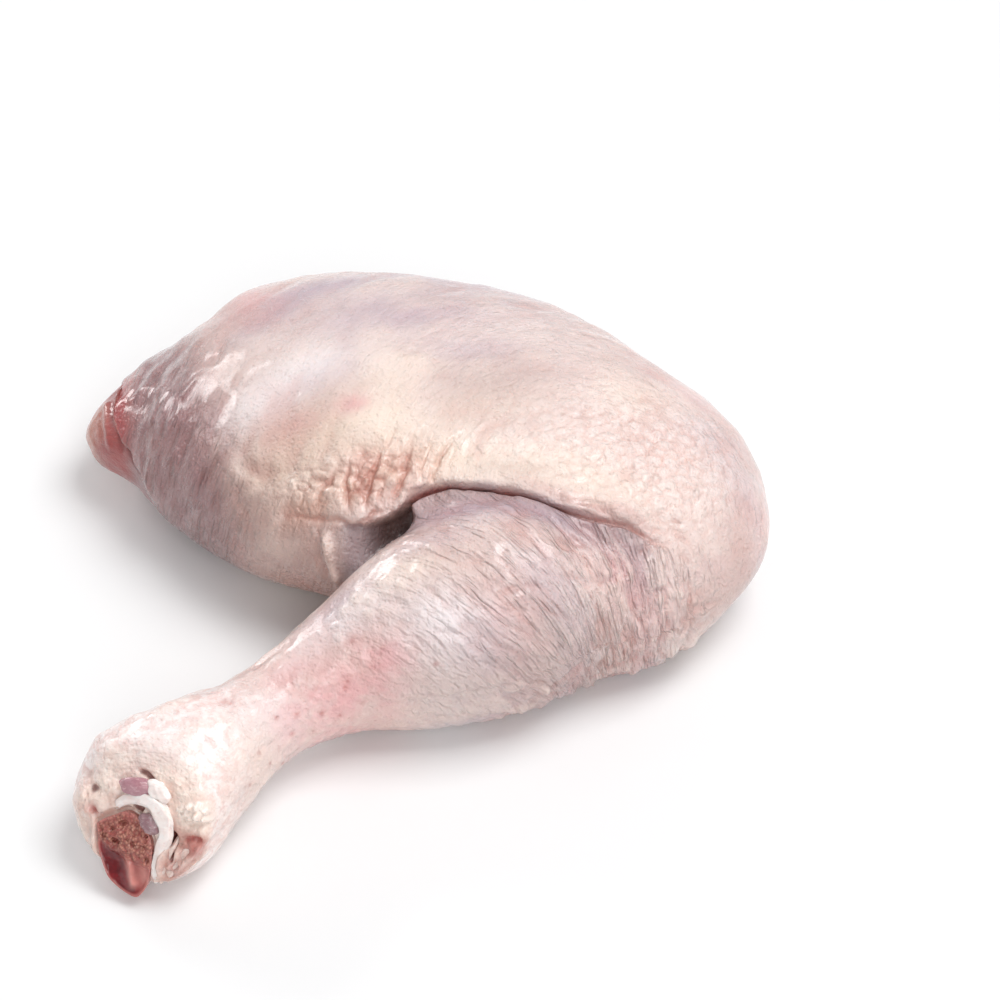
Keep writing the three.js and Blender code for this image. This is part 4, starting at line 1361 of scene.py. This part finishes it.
# Each tendon on the ankle's face: u, v, h and radius along its line.
SINEWS = {
    "tendon_loop": [(-7, 13, -0.6, 1.2), (-3.8, 16.2, 0.5, 1.4), (0, 18.0, 0.9, 1.7), (3.4, 18.4, 1.1, 2.0),
                    (6.6, 17.2, 1.0, 2.8), (9.0, 14.6, 0.9, 2.7), (10.3, 11.6, 0.7, 2.4),
                    (10.4, 8.4, 0.5, 2.1),
                    (9.5, 5.0, 0.3, 1.9), (9.2, 1.4, 0.2, 1.7), (9.4, -2.6, 0.0, 1.5), (9.3, -7, -0.9, 1.1)],
    "tendon_strand": [(14.2, 10.4, -2.2, 0.6), (12.8, 6, -0.5, 0.9), (11.6, 1.5, -0.3, 1.0),
                      (10.8, -3, -0.5, 0.9),
                      (10.2, -7, -2.2, 0.6)],
    "tendon_cord": [(19.5, 11, -2.4, 0.7), (17.4, 7, -0.6, 1.1), (15.4, 3, -0.3, 1.2),
                    (13.4, -1.5, -0.5, 1.1),
                    (11.8, -6, -2.4, 0.7)],
}
# Lumps there: middle and half sizes in u, v, h, turn, roughness, seed, node, slot and material.
LUMPS = {
    "white_knot": ((6.2, 21.6, 0.3), (4.4, 2.8, 2.0), -25, 0.3, 120, "tendon_loop", "tendon", "tendon"),
    "cartilage_cap": ((-0.6, 21.4, 0.6), (5.6, 3.0, 2.4), 6, 0.16, 130, "joint_cartilage", "cartilage",
                      "joint cartilage"),
    "cartilage_inner": ((4.9, 11.4, 0.5), (3.8, 2.6, 1.9), -30, 0.2, 140, "joint_cartilage", "cartilage",
                        "grey cartilage"),
}

stand_in(build_skin(), "leg", skin_material())
stand_in(build_hip_meat(), "thigh_meat", meat_material())
stand_in(build_bone_end(), "shin_bone", bone_material())
for node, rows in SINEWS.items():
    paint = GRISTLE["tendon" if node == "tendon_loop" else "thin tendon"]
    stand_in(build_sinew(node + "_strand", rows), node, paint)
for name, (middle, half, turn, rough, seed, node, slot, paint) in LUMPS.items():
    stand_in(build_lump(name, middle, half, turn, rough, seed), node, GRISTLE[paint])

FLOOR_REACH, FLOOR_TONE, FLOOR_ROUGHNESS = 6, (0.86, 0.86, 0.86, 1), 0.7
floor_mesh = bpy.data.meshes.new("floor")
corners = [(x * FLOOR_REACH, y * FLOOR_REACH, 0) for x, y in ((-1, -1), (1, -1), (1, 1), (-1, 1))]
floor_mesh.from_pydata(corners, [], [(0, 1, 2, 3)])
floor = put("floor", floor_mesh)
floor_paint, _, floor_shader, _ = new_material("pale floor")
floor_shader.inputs["Base Color"].default_value = FLOOR_TONE
floor_shader.inputs["Roughness"].default_value = FLOOR_ROUGHNESS
floor.data.materials.append(floor_paint)
